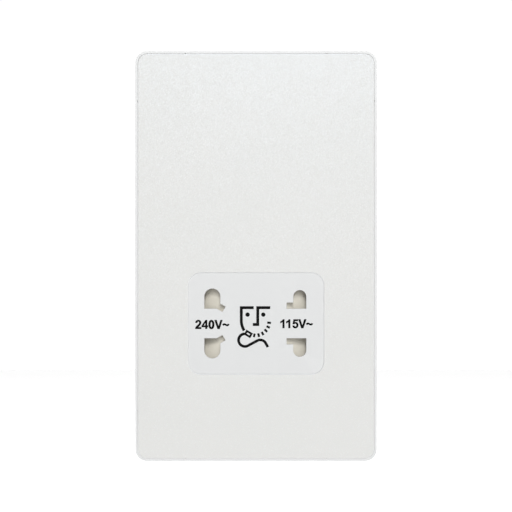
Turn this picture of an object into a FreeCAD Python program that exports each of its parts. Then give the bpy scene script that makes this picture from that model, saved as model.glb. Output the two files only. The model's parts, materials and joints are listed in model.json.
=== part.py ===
import FreeCAD, Part

# Dual-voltage shaver supply unit for a two-gang wall box.
# Millimetres: X to the right and Z up as seen from the front, Y into the wall.
# The wall plane is y = 0, and the origin lies midway between the two fixing holes.

import math
import os

from FreeCAD import Vector

# Mounting frame
PLATE_WIDTH = 86.0
PLATE_HEIGHT = 146.0
PLATE_CORNER_R = 4.1
RIM_THICKNESS = 0.8
RIM_PROUD = 6.45
RIM_EDGE_R = 0.15
WALL_PAD_WIDTH = 4.0
WALL_RECESS = 1.0
FLOOR_THICKNESS = 1.6
FIXING_PITCH = 120.6
FIXING_HOLE_R = 2.1
FIXING_BOSS_R = 4.5
COLLAR_THICKNESS = 1.2
COLLAR_GAP = 0.3
PIP_WIDTH = 0.4
PIP_REACH = 0.12
PIP_SINK = 1.0
PIP_X = 25.2
PIP_Z = 55.3
BOSS_RIB_WIDTH = 1.2

# Cover plate
COVER_GAP = 0.1
COVER_PROUD = 6.6
COVER_FACE = 1.0
COVER_SKIRT = 1.2
COVER_EDGE_R = 0.25
WINDOW_GAP = 0.05
WINDOW_EDGE_R = 0.15
CLIP_EDGE_INSET = 6.5
CLIP_Z = 57.0
CLIP_WIDTH = 6.0
CLIP_THICKNESS = 1.0
CLIP_BARB = 0.8
CLIP_CLEARANCE = 0.2
COVER_RIB_THICKNESS = 0.9
COVER_RIB_DEPTH = 1.8
COVER_RIB_PITCH = 13.0
COVER_RIBS = 3

# Socket insert
FASCIA_WIDTH = 48.4
FASCIA_HEIGHT = 36.1
FASCIA_CORNER_R = 4.5
FASCIA_Z = -24.0
FASCIA_SINK = 0.2
FASCIA_FACE = 1.7
FASCIA_EDGE_R = 0.12
FASCIA_WALL = 1.7
FASCIA_STANDOFF = 0.1
FASCIA_LIP = 1.4
FASCIA_BOX_MARGIN = 2.4
FRAME_FIT = 0.3
CHAMBER_WALL = 1.5

# Pin openings, in from the insert's edges and then out from each outlet's centre
OUTLET_INSET = 8.6
SLOT_END_INSET = 8.45
SLOT_INNER_Z = 5.27
ROUND_240_R = 2.85
ROUND_115_R = 2.3
BLADE_WIDTH = 2.2
BLADE_240_X = 1.3
BLADE_240_Z = 6.7
BLADE_240_HALF = 3.3
BLADE_240_ANGLE = 30.0
BLADE_115_REACH = 4.7
SLOT_EDGE_R = 0.12

# Shutter
SHUTTER_THICKNESS = 4.85
SHUTTER_FRONT_GAP = 0.15
SHUTTER_BACK_GAP = 0.3
SHUTTER_SIDE_GAP = 0.2
SHUTTER_MARGIN = 0.3
SHUTTER_LAP = 0.95
SHUTTER_RAMP_ANGLE = 20.0
SHUTTER_SPINE_HALF = 3.4

# Return springs
SPRING_R = 1.3
SPRING_WIRE_R = 0.2
SPRING_TURNS = 8
SPRING_SEAT_X = 6.0
SPRING_END_GAP = 0.1
CHANNEL_SIDE_GAP = 0.2
CHANNEL_DEPTH = 3.6
PEG_R = 0.9
PEG_LENGTH = 3.0

# Contact base
BASE_THICKNESS = 1.8
BASE_EDGE_GAP = 0.1
WELL_WALL = 1.2
WELL_INWARD = 5.3
WELL_OUTWARD = 3.4
WELL_INNER_Z = 4.4
WELL_BEYOND = 3.0
WELL_DEPTH = 13.0
WELL_FLOOR = 2.0
BASE_SCREW_INSET = 6.4

# Spring contacts
STRIP_THICKNESS = 0.5
CONTACT_SIDE_GAP = 0.4
CONTACT_END_GAP = 0.35
CONTACT_MOUTH = 1.6
TAG_WIDTH = 2.4
TAG_CLEARANCE = 0.15
TAG_TAIL = 2.0
LINK_CORNER_R = 0.7
GRIP_SHARE = 0.45
LEAF_BEND_SHARE = 0.62
LEAF_NECK_SHARE = 0.3

# Plug-operated switch
BRIDGE_HALF = 2.6
BRIDGE_THICKNESS = 0.5
BRIDGE_CORNER_R = 0.5
BRIDGE_GAP = 0.1
SWITCH_LENGTH = 19.6
SWITCH_PAD_INNER_X = 4.4
SWITCH_PAD_INNER_Z = 1.0
SWITCH_BAR_Z = 3.6
SWITCH_BAR_WIDTH = 1.2
SWITCH_TAG_X = 3.0

# Transformer
CORE_WIDTH = 54.0
CORE_HEIGHT = 45.0
CORE_STACK = 20.0
CORE_LIMB = 9.0
CORE_HOLE_R = 1.75
CORE_HOLE_INSET = 4.5
CLAMP_THICKNESS = 0.8
CLAMP_WIDTH = 18.0
CLAMP_LIP = 3.0
CORE_CLEARANCE = 1.2
BOBBIN_WALL = 1.0
BOBBIN_FIT = 0.15
BOBBIN_FLANGE = 1.0
BOBBIN_CORNER_R = 1.5
COIL_OVERHANG = 8.3
WINDING_SINK = 0.5
WINDING_CORNER_R = 4.0
FRONT_SPACE = 4.2
PIN_R = 0.4
PIN_LENGTH = 4.0
PIN_PITCH = 7.0
PIN_RAIL_HEIGHT = 3.0
PIN_RAIL_DEPTH = 4.2
PIN_HOLE_DEPTH = 1.6
CUTOUT_WIDTH = 6.0
CUTOUT_HEIGHT = 9.5
CUTOUT_DEPTH = 2.4
CUTOUT_CORNER_R = 0.6
CUTOUT_X = -8.0

# Rear housing
HOUSING_WALL = 1.8
HOUSING_FIT = 0.2
HOUSING_CORNER_R = 3.0
HOUSING_REAR_R = 1.2
HOUSING_COIL_GAP = 0.3
LEAD_SPACE = 5.0
EAR_X = 24.0
EAR_R = 3.5
EAR_REACH = 4.0
EAR_THICKNESS = 3.0
CRADLE_RIB = 1.6
CRADLE_RIB_Z = 6.75
CRADLE_HOLD = 3.0
CRADLE_FIT = 0.1
VENT_WIDTH = 14.0
VENT_HEIGHT = 2.0
VENT_PITCH = 4.5
VENT_ROWS = 6
VENT_X = 14.0
LABEL_WIDTH = 38.0
LABEL_HEIGHT = 8.5
LABEL_DEPTH = 0.3
LABEL_CORNER_R = 1.0

# Terminals
TERMINAL_PITCH = 8.6
TERMINAL_WIDTH = 6.0
TERMINAL_HEIGHT = 8.0
TERMINAL_DEPTH = 8.0
TERMINAL_CORNER_R = 0.5
TERMINAL_BORE_R = 1.75
TERMINAL_TOP_Z = -31.0
TERMINAL_GAP = 0.2
TERMINAL_TAB_WIDTH = 3.0
TERMINAL_TAB_THICKNESS = 0.8
TERMINAL_TAB_REACH = 1.0
BLOCK_WALL = 1.3
BLOCK_CORNER_R = 1.0
BLOCK_ENTRY_LENGTH = 3.0
BLOCK_ENTRY_R = 2.3
BLOCK_SCREW_WELL = 3.6
BLOCK_EAR_R = 3.2
BLOCK_EAR_THICKNESS = 3.0

# Screws
SCREW_R = 1.1
SCREW_HEAD_R = 2.3
SCREW_HEAD_HEIGHT = 1.6
SCREW_HEAD_EDGE_R = 0.6
SCREW_POINT_SHARE = 0.3
SCREW_LENGTH = 4.6
SCREW_TIP = 0.8
SCREW_HOLE_FIT = 0.25
PILOT_FIT = 0.03
SCREW_BOSS_WALL = 1.3
DRIVE_WIDTH = 0.6
DRIVE_DEPTH = 0.7
DRIVE_ARM_SHARE = 0.6
TERMINAL_SCREW_R = 1.6
TERMINAL_SCREW_HEAD_R = 2.1
TERMINAL_SCREW_LENGTH = 3.4
TERMINAL_SCREW_GAP = 0.2

# Internal leads
LEAD_R = 0.8

# Gap between pieces that touch or slide
FINE_GAP = 0.05

# Depths, worked out from the values above (y, so the front of the part is negative)
FLOOR_BACK = -WALL_RECESS
FLOOR_FRONT = FLOOR_BACK - FLOOR_THICKNESS
COVER_FRONT = -COVER_PROUD
COVER_BACK = COVER_FRONT + COVER_FACE
FASCIA_FRONT = COVER_FRONT + FASCIA_SINK
FLANGE_FRONT = COVER_BACK + FASCIA_STANDOFF
CHAMBER_FRONT = FASCIA_FRONT + FASCIA_FACE
SHUTTER_FRONT = CHAMBER_FRONT + SHUTTER_FRONT_GAP
SHUTTER_BACK = SHUTTER_FRONT + SHUTTER_THICKNESS
BASE_FRONT = SHUTTER_BACK + SHUTTER_BACK_GAP
BASE_BACK = BASE_FRONT + BASE_THICKNESS
WELL_BACK = BASE_FRONT + WELL_DEPTH + WELL_FLOOR
SPRING_Y = SHUTTER_BACK - CHANNEL_DEPTH + SPRING_R + SPRING_WIRE_R + CHANNEL_SIDE_GAP
CONTACT_BACK = BASE_FRONT + WELL_DEPTH - STRIP_THICKNESS / 2
TAG_END = WELL_BACK + TAG_TAIL
LOW_INSIDE = WELL_BACK + LEAD_SPACE
LOW_BACK = LOW_INSIDE + HOUSING_WALL
COIL_HALF = CORE_STACK / 2 + COIL_OVERHANG
COIL_Y = FLOOR_BACK + FRONT_SPACE + COIL_HALF
DEEP_INSIDE = COIL_Y + COIL_HALF + HOUSING_COIL_GAP
DEEP_BACK = DEEP_INSIDE + HOUSING_WALL

# Shutter, chamber and insert sizes across the front
OUTLET_X = FASCIA_WIDTH / 2 - OUTLET_INSET
SLOT_END_Z = FASCIA_HEIGHT / 2 - SLOT_END_INSET
BLADE_TURN = math.radians(BLADE_240_ANGLE)
BLADE_240_REACH = (BLADE_240_X + BLADE_240_HALF * math.cos(BLADE_TURN)
                   + BLADE_WIDTH / 2 * math.sin(BLADE_TURN))
PIN_REACH = max(BLADE_240_REACH, BLADE_115_REACH)
SHUTTER_BLOCK = OUTLET_X - PIN_REACH - SHUTTER_MARGIN
SHUTTER_END = OUTLET_X + ROUND_240_R + SHUTTER_LAP
SHUTTER_TRAVEL = SHUTTER_END - SHUTTER_BLOCK
SHUTTER_HALF_Z = SLOT_END_Z + ROUND_240_R + SHUTTER_LAP
CHAMBER_HALF_X = SHUTTER_END + SHUTTER_TRAVEL + SHUTTER_SIDE_GAP
CHAMBER_HALF_Z = SHUTTER_HALF_Z + SHUTTER_SIDE_GAP
MOAT_INNER = CHAMBER_HALF_Z + CHAMBER_WALL
BOX_WIDTH = 2 * (CHAMBER_HALF_X + FASCIA_WALL)
BOX_HEIGHT = FASCIA_HEIGHT + 2 * FASCIA_BOX_MARGIN
LIP_WIDTH = BOX_WIDTH + 2 * FASCIA_LIP
LIP_HEIGHT = BOX_HEIGHT + 2 * FASCIA_LIP
CHANNEL_HALF = SPRING_R + SPRING_WIRE_R + CHANNEL_SIDE_GAP
BASE_WIDTH = LIP_WIDTH - 2 * BASE_EDGE_GAP
BASE_HEIGHT = LIP_HEIGHT - 2 * BASE_EDGE_GAP
MOAT_OUTER = BOX_HEIGHT / 2 - FASCIA_WALL
BASE_SCREW_X = CHAMBER_HALF_X - BASE_SCREW_INSET
BASE_SCREW_Z = (MOAT_INNER + MOAT_OUTER) / 2
WELL_OUTER_Z = SLOT_END_Z + WELL_BEYOND
CONTACT_HALF_WIDTH = (WELL_INWARD + WELL_OUTWARD) / 2 - CONTACT_SIDE_GAP
CONTACT_SHIFT = (WELL_INWARD - WELL_OUTWARD) / 2
TAG_Z = (WELL_INNER_Z + WELL_OUTER_Z) / 2

# Transformer and housing heights
CORE_BOTTOM = FASCIA_Z + LIP_HEIGHT / 2 + CLAMP_THICKNESS + HOUSING_FIT
CORE_TOP = CORE_BOTTOM + CORE_HEIGHT
CORE_Z = (CORE_BOTTOM + CORE_TOP) / 2
CLAMP_HALF_X = CORE_WIDTH / 2 + CLAMP_THICKNESS + CRADLE_FIT
HOUSING_INNER_X = max(LIP_WIDTH / 2 + HOUSING_FIT, CLAMP_HALF_X + CRADLE_RIB)
HOUSING_HALF_X = HOUSING_INNER_X + HOUSING_WALL
HOUSING_INNER_TOP = CORE_TOP + CLAMP_THICKNESS + CRADLE_FIT
HOUSING_TOP = HOUSING_INNER_TOP + HOUSING_WALL
HOUSING_INNER_BOTTOM = FASCIA_Z - LIP_HEIGHT / 2 - HOUSING_FIT
HOUSING_BOTTOM = HOUSING_INNER_BOTTOM - HOUSING_WALL
DEEP_INNER_BOTTOM = CORE_BOTTOM - CLAMP_THICKNESS - CORE_CLEARANCE
DEEP_BOTTOM = DEEP_INNER_BOTTOM - HOUSING_WALL
EAR_TOP_Z = HOUSING_TOP + EAR_REACH
EAR_BOTTOM_Z = HOUSING_BOTTOM - EAR_REACH
WINDOW_BOTTOM = CORE_BOTTOM + CORE_LIMB
WINDOW_TOP = CORE_TOP - CORE_LIMB
BOBBIN_BOTTOM = WINDOW_BOTTOM + BOBBIN_FIT
BOBBIN_TOP = WINDOW_TOP - BOBBIN_FIT
COIL_HALF_X = CORE_WIDTH / 2 - CORE_LIMB - 2 * BOBBIN_FIT
PIN_TIP_Z = BOBBIN_BOTTOM + BOBBIN_FLANGE - PIN_RAIL_HEIGHT + PIN_HOLE_DEPTH - PIN_LENGTH
PIN_Y = COIL_Y - COIL_HALF + PIN_RAIL_DEPTH / 2
TERMINAL_FRONT = LOW_BACK + TERMINAL_GAP
TERMINAL_BACK = TERMINAL_FRONT + TERMINAL_DEPTH
TERMINAL_BOTTOM_Z = TERMINAL_TOP_Z - TERMINAL_HEIGHT
BORE_Y = TERMINAL_FRONT + TERMINAL_DEPTH / 2
TAB_FRONT = LOW_INSIDE - TERMINAL_TAB_REACH - 2 * LEAD_R
BLOCK_BACK = TERMINAL_BACK + BLOCK_SCREW_WELL
BLOCK_HALF_X = TERMINAL_PITCH + TERMINAL_WIDTH / 2 + TERMINAL_GAP + BLOCK_WALL
BLOCK_TOP_Z = TERMINAL_TOP_Z + TERMINAL_GAP + BLOCK_WALL
BLOCK_BOTTOM_Z = TERMINAL_BOTTOM_Z - TERMINAL_GAP - BLOCK_ENTRY_LENGTH
BLOCK_SCREW_X = BLOCK_HALF_X + SCREW_HEAD_R
BLOCK_SCREW_Z = (BLOCK_TOP_Z + BLOCK_BOTTOM_Z) / 2

MARGIN = 1.0
FLAT = 1e-4
OUTLETS = (-1, 1)
POLES = (-1, 1)


# Shapes that many pieces share

def block(x0, x1, y0, y1, z0, z1):
    return Part.makeBox(x1 - x0, y1 - y0, z1 - z0, Vector(x0, y0, z0))


def rod_x(radius, x0, x1, y, z):
    return Part.makeCylinder(radius, x1 - x0, Vector(x0, y, z), Vector(1, 0, 0))


def rod_y(radius, y0, y1, x, z):
    return Part.makeCylinder(radius, y1 - y0, Vector(x, y0, z), Vector(0, 1, 0))


def rod_z(radius, z0, z1, x, y):
    return Part.makeCylinder(radius, z1 - z0, Vector(x, y, z0), Vector(0, 0, 1))


def rounded(solid, radius, axis):
    """Round every edge of a box that runs along one axis: 0, 1 or 2 for X, Y or Z."""
    edges = []
    for edge in solid.Edges:
        run = edge.Vertexes[1].Point - edge.Vertexes[0].Point
        if abs(run[axis]) > run.Length - FLAT:
            edges.append(edge)
    return solid.makeFillet(radius, edges)


def panel(width, height, radius, y0, y1, z=0.0):
    """Rectangle with round corners, seen from the front, between two depths."""
    slab = block(-width / 2, width / 2, y0, y1, z - height / 2, z + height / 2)
    return rounded(slab, radius, 1)


def edges_at_depth(solid, y):
    return [edge for edge in solid.Edges
            if abs(edge.BoundBox.YMin - y) < FLAT and abs(edge.BoundBox.YMax - y) < FLAT]


def prism_z(points, z0, z1):
    """Outline in X and Y, given in order, run up from one height to another."""
    corners = [Vector(x, y, z0) for x, y in points]
    outline = Part.makePolygon(corners + corners[:1])
    return Part.Face(outline).extrude(Vector(0, 0, z1 - z0))


def joined(first, others):
    return first.fuse(others).removeSplitter()


def tangent_path(points, share=0.45):
    """Straight runs joined by arcs that are as large as their two runs allow."""
    edges = []
    start = points[0]
    for before, corner, after in zip(points, points[1:], points[2:]):
        arriving = corner - before
        leaving = after - corner
        trim = share * min(arriving.Length, leaving.Length)
        arriving.normalize()
        leaving.normalize()
        half_turn = arriving.getAngle(leaving) / 2
        radius = trim / math.tan(half_turn)
        inward = (leaving - arriving).normalize()
        arc_start = corner - arriving * trim
        arc_end = corner + leaving * trim
        arc_middle = corner + inward * (radius / math.cos(half_turn) - radius)
        edges.append(Part.LineSegment(start, arc_start).toShape())
        edges.append(Part.Arc(arc_start, arc_middle, arc_end).toShape())
        start = arc_end
    edges.append(Part.LineSegment(start, points[-1]).toShape())
    return Part.Wire(edges)


def lead(*points):
    """Insulated wire along a route."""
    route = [Vector(*point) for point in points]
    ring = Part.Wire([Part.makeCircle(LEAD_R, route[0], route[1] - route[0])])
    if len(route) == 2:
        return Part.Face(ring).extrude(route[1] - route[0])
    return tangent_path(route).makePipeShell([ring], True, False)


def screw(radius, head_radius, length, tip, x, z, seat):
    """Screw driven forward: its head lies behind the seat and its shank in front of it."""
    head_back = seat + SCREW_HEAD_HEIGHT
    shank_end = seat - length + tip
    body = rod_y(head_radius, seat, head_back, x, z)
    body = body.makeFillet(SCREW_HEAD_EDGE_R, edges_at_depth(body, head_back))
    shank = rod_y(radius, shank_end, seat, x, z)
    point = Part.makeCone(radius, radius * SCREW_POINT_SHARE, tip, Vector(x, shank_end, z), Vector(0, -1, 0))
    body = joined(body, [shank, point])
    arm = head_radius * DRIVE_ARM_SHARE
    drive_front = head_back - DRIVE_DEPTH
    half = DRIVE_WIDTH / 2
    across = block(x - arm, x + arm, drive_front, head_back + MARGIN, z - half, z + half)
    upright = block(x - half, x + half, drive_front, head_back + MARGIN, z - arm, z + arm)
    return body.cut([across, upright])


# Places that several pieces line up with

def clip_places():
    x = PLATE_WIDTH / 2 - CLIP_EDGE_INSET
    return [(side * x, end * CLIP_Z) for side in (-1, 1) for end in (-1, 1)]


def ear_places():
    return [(side * EAR_X, z) for side in (-1, 1) for z in (EAR_BOTTOM_Z, EAR_TOP_Z)]


def base_screw_places():
    return [(side * BASE_SCREW_X, FASCIA_Z + pole * BASE_SCREW_Z)
            for side in (-1, 1) for pole in POLES]


def terminal_places():
    return [-TERMINAL_PITCH, 0.0, TERMINAL_PITCH]


def pin_places():
    return [column * PIN_PITCH for column in (-2, -1, 0, 1, 2)]


def contact_x(side):
    return side * (OUTLET_X - CONTACT_SHIFT)


# Front of the unit

def mounting_frame():
    body = panel(PLATE_WIDTH, PLATE_HEIGHT, PLATE_CORNER_R, -RIM_PROUD, 0)
    body = body.makeFillet(RIM_EDGE_R, edges_at_depth(body, -RIM_PROUD))
    inner_width = PLATE_WIDTH - 2 * RIM_THICKNESS
    inner_height = PLATE_HEIGHT - 2 * RIM_THICKNESS
    inner_r = PLATE_CORNER_R - RIM_THICKNESS
    tray = panel(inner_width, inner_height, inner_r, -RIM_PROUD - MARGIN, FLOOR_FRONT)
    recess_width = max(PLATE_WIDTH - 2 * WALL_PAD_WIDTH, 2 * (HOUSING_HALF_X + FRAME_FIT))
    recess = panel(recess_width, PLATE_HEIGHT - 2 * WALL_PAD_WIDTH, PLATE_CORNER_R, FLOOR_BACK, MARGIN)
    body = body.cut([tray, recess])

    additions = []
    collar_front = COVER_BACK + COLLAR_GAP
    opening_width = BOX_WIDTH + 2 * FRAME_FIT
    opening_height = BOX_HEIGHT + 2 * FRAME_FIT
    additions.append(panel(opening_width + 2 * COLLAR_THICKNESS, opening_height + 2 * COLLAR_THICKNESS,
                           FASCIA_CORNER_R, collar_front, FLOOR_FRONT, FASCIA_Z))
    for end in (-1, 1):
        z = end * FIXING_PITCH / 2
        additions.append(rod_y(FIXING_BOSS_R, FLOOR_BACK, 0, 0, z))
    for x, z in ear_places():
        additions.append(rod_y(SCREW_R + SCREW_BOSS_WALL, collar_front, FLOOR_BACK, x, z))
    half = BOSS_RIB_WIDTH / 2
    for end in (-1, 1):
        z = end * (FIXING_PITCH + FIXING_BOSS_R) / 2
        additions.append(block(-recess_width / 2, recess_width / 2, FLOOR_BACK, 0, z - half, z + half))
        z0, z1 = sorted((z, end * (PLATE_HEIGHT / 2 - WALL_PAD_WIDTH)))
        additions.append(block(-half, half, FLOOR_BACK, 0, z0, z1))
    body = joined(body, additions)

    cuts = [panel(opening_width, opening_height, FASCIA_CORNER_R, collar_front - MARGIN, MARGIN, FASCIA_Z)]
    for end in (-1, 1):
        cuts.append(rod_y(FIXING_HOLE_R, FLOOR_FRONT - MARGIN, MARGIN, 0, end * FIXING_PITCH / 2))
    for x, z in ear_places():
        pilot_end = FLOOR_BACK + EAR_THICKNESS - SCREW_LENGTH - COLLAR_GAP
        cuts.append(rod_y(SCREW_R + PILOT_FIT, pilot_end, MARGIN, x, z))
    for x, z in clip_places():
        half_x = CLIP_THICKNESS / 2 + CLIP_CLEARANCE
        half_z = CLIP_WIDTH / 2 + CLIP_CLEARANCE
        cuts.append(block(x - half_x, x + half_x, FLOOR_FRONT - MARGIN, FLOOR_BACK + MARGIN,
                          z - half_z, z + half_z))
    return body.cut(cuts + locating_pips(FINE_GAP, -RIM_PROUD - MARGIN))


def locating_pips(grow, front):
    """Pips round the cover's skirt, or with a little added all round, the rim's notches for them."""
    half = PIP_WIDTH / 2 + grow
    edge_x = PLATE_WIDTH / 2 - RIM_THICKNESS
    edge_z = PLATE_HEIGHT / 2 - RIM_THICKNESS
    inward = COVER_GAP + FINE_GAP
    reach = PIP_REACH + grow
    pips = []
    for side in (-1, 1):
        for end in (-1, 1):
            z0, z1 = sorted((end * (edge_z - inward), end * (edge_z + reach)))
            pips.append(block(side * PIP_X - half, side * PIP_X + half, front, FLOOR_FRONT, z0, z1))
            x0, x1 = sorted((side * (edge_x - inward), side * (edge_x + reach)))
            pips.append(block(x0, x1, front, FLOOR_FRONT, end * PIP_Z - half, end * PIP_Z + half))
    return pips


def cover_clip(x, z):
    """Leg that passes through the frame's floor, with a barb that catches behind it."""
    outward = math.copysign(1, x)
    inner = x - outward * CLIP_THICKNESS / 2
    outer = x + outward * CLIP_THICKNESS / 2
    catch = FLOOR_BACK + FINE_GAP
    tip = -FINE_GAP
    outline = [(inner, COVER_BACK), (outer, COVER_BACK), (outer, catch),
               (outer + outward * CLIP_BARB, catch), (outer, tip), (inner, tip)]
    return prism_z(outline, z - CLIP_WIDTH / 2, z + CLIP_WIDTH / 2)


def cover_plate():
    inset = RIM_THICKNESS + COVER_GAP
    width = PLATE_WIDTH - 2 * inset
    height = PLATE_HEIGHT - 2 * inset
    corner_r = PLATE_CORNER_R - inset
    body = panel(width, height, corner_r, COVER_FRONT, FLOOR_FRONT)
    body = body.makeFillet(COVER_EDGE_R, edges_at_depth(body, COVER_FRONT))
    inner_width = width - 2 * COVER_SKIRT
    inner_height = height - 2 * COVER_SKIRT
    hollow = panel(inner_width, inner_height, corner_r - COVER_SKIRT, COVER_BACK, FLOOR_FRONT + MARGIN)
    body = body.cut(hollow)
    additions = [cover_clip(x, z) for x, z in clip_places()]
    additions.extend(locating_pips(0.0, -RIM_PROUD + PIP_SINK))
    rib_back = COVER_BACK + COVER_RIB_DEPTH
    half = COVER_RIB_THICKNESS / 2
    reach = PLATE_WIDTH / 2 - CLIP_EDGE_INSET - CLIP_THICKNESS
    opening_top = FASCIA_Z + BOX_HEIGHT / 2 + FRAME_FIT + COLLAR_THICKNESS
    first_rib = opening_top + COVER_RIB_PITCH / 2
    for row in range(COVER_RIBS):
        z = first_rib + row * COVER_RIB_PITCH
        additions.append(block(-reach, reach, COVER_BACK, rib_back, z - half, z + half))
    last_rib = first_rib + (COVER_RIBS - 1) * COVER_RIB_PITCH
    for column in (-1, 0, 1):
        x = column * reach / 2
        additions.append(block(x - half, x + half, COVER_BACK, rib_back, first_rib, last_rib))
    body = joined(body, additions)
    window = panel(FASCIA_WIDTH + 2 * WINDOW_GAP, FASCIA_HEIGHT + 2 * WINDOW_GAP,
                   FASCIA_CORNER_R + WINDOW_GAP, COVER_FRONT - MARGIN, COVER_BACK + MARGIN, FASCIA_Z)
    body = body.cut(window)
    rim = [edge for edge in edges_at_depth(body, COVER_FRONT)
           if abs(edge.CenterOfMass.x) < FASCIA_WIDTH / 2 + MARGIN
           and abs(edge.CenterOfMass.z - FASCIA_Z) < FASCIA_HEIGHT / 2 + MARGIN]
    return body.makeFillet(WINDOW_EDGE_R, rim)


def slot_cut(side, pole):
    """One pin opening: a round-ended slot with a slot for a flat blade run into it."""
    y0 = FASCIA_FRONT - MARGIN
    y1 = CHAMBER_FRONT + MARGIN
    x = side * OUTLET_X
    radius = ROUND_240_R if side < 0 else ROUND_115_R
    z_inner, z_end = sorted((pole * SLOT_INNER_Z, pole * SLOT_END_Z))
    straight = block(x - radius, x + radius, y0, y1, FASCIA_Z + z_inner, FASCIA_Z + z_end)
    end = rod_y(radius, y0, y1, x, FASCIA_Z + pole * SLOT_END_Z)
    half = BLADE_WIDTH / 2
    if side < 0:
        blade = block(-BLADE_240_HALF, BLADE_240_HALF, y0, y1, -half, half)
        blade.rotate(Vector(0, 0, 0), Vector(0, 1, 0), pole * BLADE_240_ANGLE)
        blade.translate(Vector(x + BLADE_240_X, 0, FASCIA_Z + pole * BLADE_240_Z))
        keep = block(x, x + 2 * PIN_REACH, y0, y1, FASCIA_Z - 2 * SLOT_END_Z, FASCIA_Z + 2 * SLOT_END_Z)
        blade = blade.common(keep)
    else:
        z0, z1 = sorted((pole * SLOT_INNER_Z, pole * (SLOT_INNER_Z + BLADE_WIDTH)))
        blade = block(x - BLADE_115_REACH, x + radius, y0, y1, FASCIA_Z + z0, FASCIA_Z + z1)
    return joined(straight, [end, blade])


def fascia():
    boss = panel(FASCIA_WIDTH, FASCIA_HEIGHT, FASCIA_CORNER_R, FASCIA_FRONT, CHAMBER_FRONT, FASCIA_Z)
    boss = boss.makeFillet(FASCIA_EDGE_R, edges_at_depth(boss, FASCIA_FRONT))
    box = panel(BOX_WIDTH, BOX_HEIGHT, FASCIA_CORNER_R, FLANGE_FRONT, BASE_FRONT, FASCIA_Z)
    lip = panel(LIP_WIDTH, LIP_HEIGHT, FASCIA_CORNER_R, FLOOR_BACK, BASE_FRONT, FASCIA_Z)
    body = joined(boss, [box, lip])

    chamber = block(-CHAMBER_HALF_X, CHAMBER_HALF_X, CHAMBER_FRONT, BASE_FRONT + MARGIN,
                    FASCIA_Z - CHAMBER_HALF_Z, FASCIA_Z + CHAMBER_HALF_Z)
    cuts = [chamber]
    for pole in POLES:
        z0, z1 = sorted((FASCIA_Z + pole * MOAT_INNER, FASCIA_Z + pole * MOAT_OUTER))
        cuts.append(block(-CHAMBER_HALF_X, CHAMBER_HALF_X, CHAMBER_FRONT, BASE_FRONT + MARGIN, z0, z1))
    body = body.cut(cuts)

    additions = []
    for x, z in base_screw_places():
        additions.append(rod_y(SCREW_R + SCREW_BOSS_WALL, CHAMBER_FRONT - FASCIA_FACE / 4, BASE_FRONT, x, z))
    for side in (-1, 1):
        ends = sorted((side * CHAMBER_HALF_X, side * (CHAMBER_HALF_X - PEG_LENGTH)))
        additions.append(rod_x(PEG_R, ends[0], ends[1], SPRING_Y, FASCIA_Z))
    body = joined(body, additions)
    pilot_end = BASE_BACK - SCREW_LENGTH - COLLAR_GAP
    pilots = [rod_y(SCREW_R + PILOT_FIT, pilot_end, BASE_FRONT + MARGIN, x, z)
              for x, z in base_screw_places()]
    slots = [slot_cut(side, pole) for side in OUTLETS for pole in POLES]
    body = body.cut(pilots + slots)
    slot_edges = [edge for edge in edges_at_depth(body, FASCIA_FRONT)
                  if abs(edge.CenterOfMass.x) < OUTLET_X + 2 * ROUND_240_R
                  and abs(edge.CenterOfMass.z - FASCIA_Z) < SLOT_END_Z + ROUND_240_R + FLAT]
    return body.makeFillet(SLOT_EDGE_R, slot_edges)


def shutter():
    """Slider that covers one outlet while the other is in use, moved by a pin on its ramp."""
    drop = (SHUTTER_END - SHUTTER_BLOCK) * math.tan(math.radians(SHUTTER_RAMP_ANGLE))
    outline = [(-SHUTTER_END, SHUTTER_FRONT + drop), (-SHUTTER_BLOCK, SHUTTER_FRONT),
               (SHUTTER_BLOCK, SHUTTER_FRONT), (SHUTTER_END, SHUTTER_FRONT + drop),
               (SHUTTER_END, SHUTTER_BACK), (-SHUTTER_END, SHUTTER_BACK)]
    body = prism_z(outline, FASCIA_Z - SHUTTER_HALF_Z, FASCIA_Z + SHUTTER_HALF_Z)
    spine = block(-SHUTTER_END, SHUTTER_END, SHUTTER_FRONT, SHUTTER_BACK,
                  FASCIA_Z - SHUTTER_SPINE_HALF, FASCIA_Z + SHUTTER_SPINE_HALF)
    body = joined(body, [spine])
    bridge_seat = BASE_FRONT - BRIDGE_GAP - BRIDGE_THICKNESS
    seat_half = BRIDGE_HALF + FINE_GAP
    cuts = [block(-seat_half, seat_half, bridge_seat, SHUTTER_BACK + MARGIN,
                  FASCIA_Z - seat_half, FASCIA_Z + seat_half)]
    pegs = []
    for side in (-1, 1):
        x0, x1 = sorted((side * SPRING_SEAT_X, side * (SHUTTER_END + MARGIN)))
        cuts.append(block(x0, x1, SHUTTER_BACK - CHANNEL_DEPTH, SHUTTER_BACK + MARGIN,
                          FASCIA_Z - CHANNEL_HALF, FASCIA_Z + CHANNEL_HALF))
        x0, x1 = sorted((side * SPRING_SEAT_X, side * (SPRING_SEAT_X + PEG_LENGTH)))
        pegs.append(rod_x(PEG_R, x0, x1, SPRING_Y, FASCIA_Z))
    return joined(body.cut(cuts), pegs)


def return_spring(side):
    start = SPRING_SEAT_X + SPRING_END_GAP + SPRING_WIRE_R
    length = CHAMBER_HALF_X - SPRING_END_GAP - SPRING_WIRE_R - start
    helix = Part.makeHelix(length / SPRING_TURNS, length, SPRING_R)
    ring = Part.Wire([Part.makeCircle(SPRING_WIRE_R, Vector(SPRING_R, 0, 0), Vector(0, 1, 0))])
    coil = Part.Wire(helix).makePipeShell([ring], True, True)
    coil.rotate(Vector(0, 0, 0), Vector(0, 1, 0), 90 * side)
    coil.translate(Vector(side * start, SPRING_Y, FASCIA_Z))
    return coil


# Contacts and switch

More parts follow.
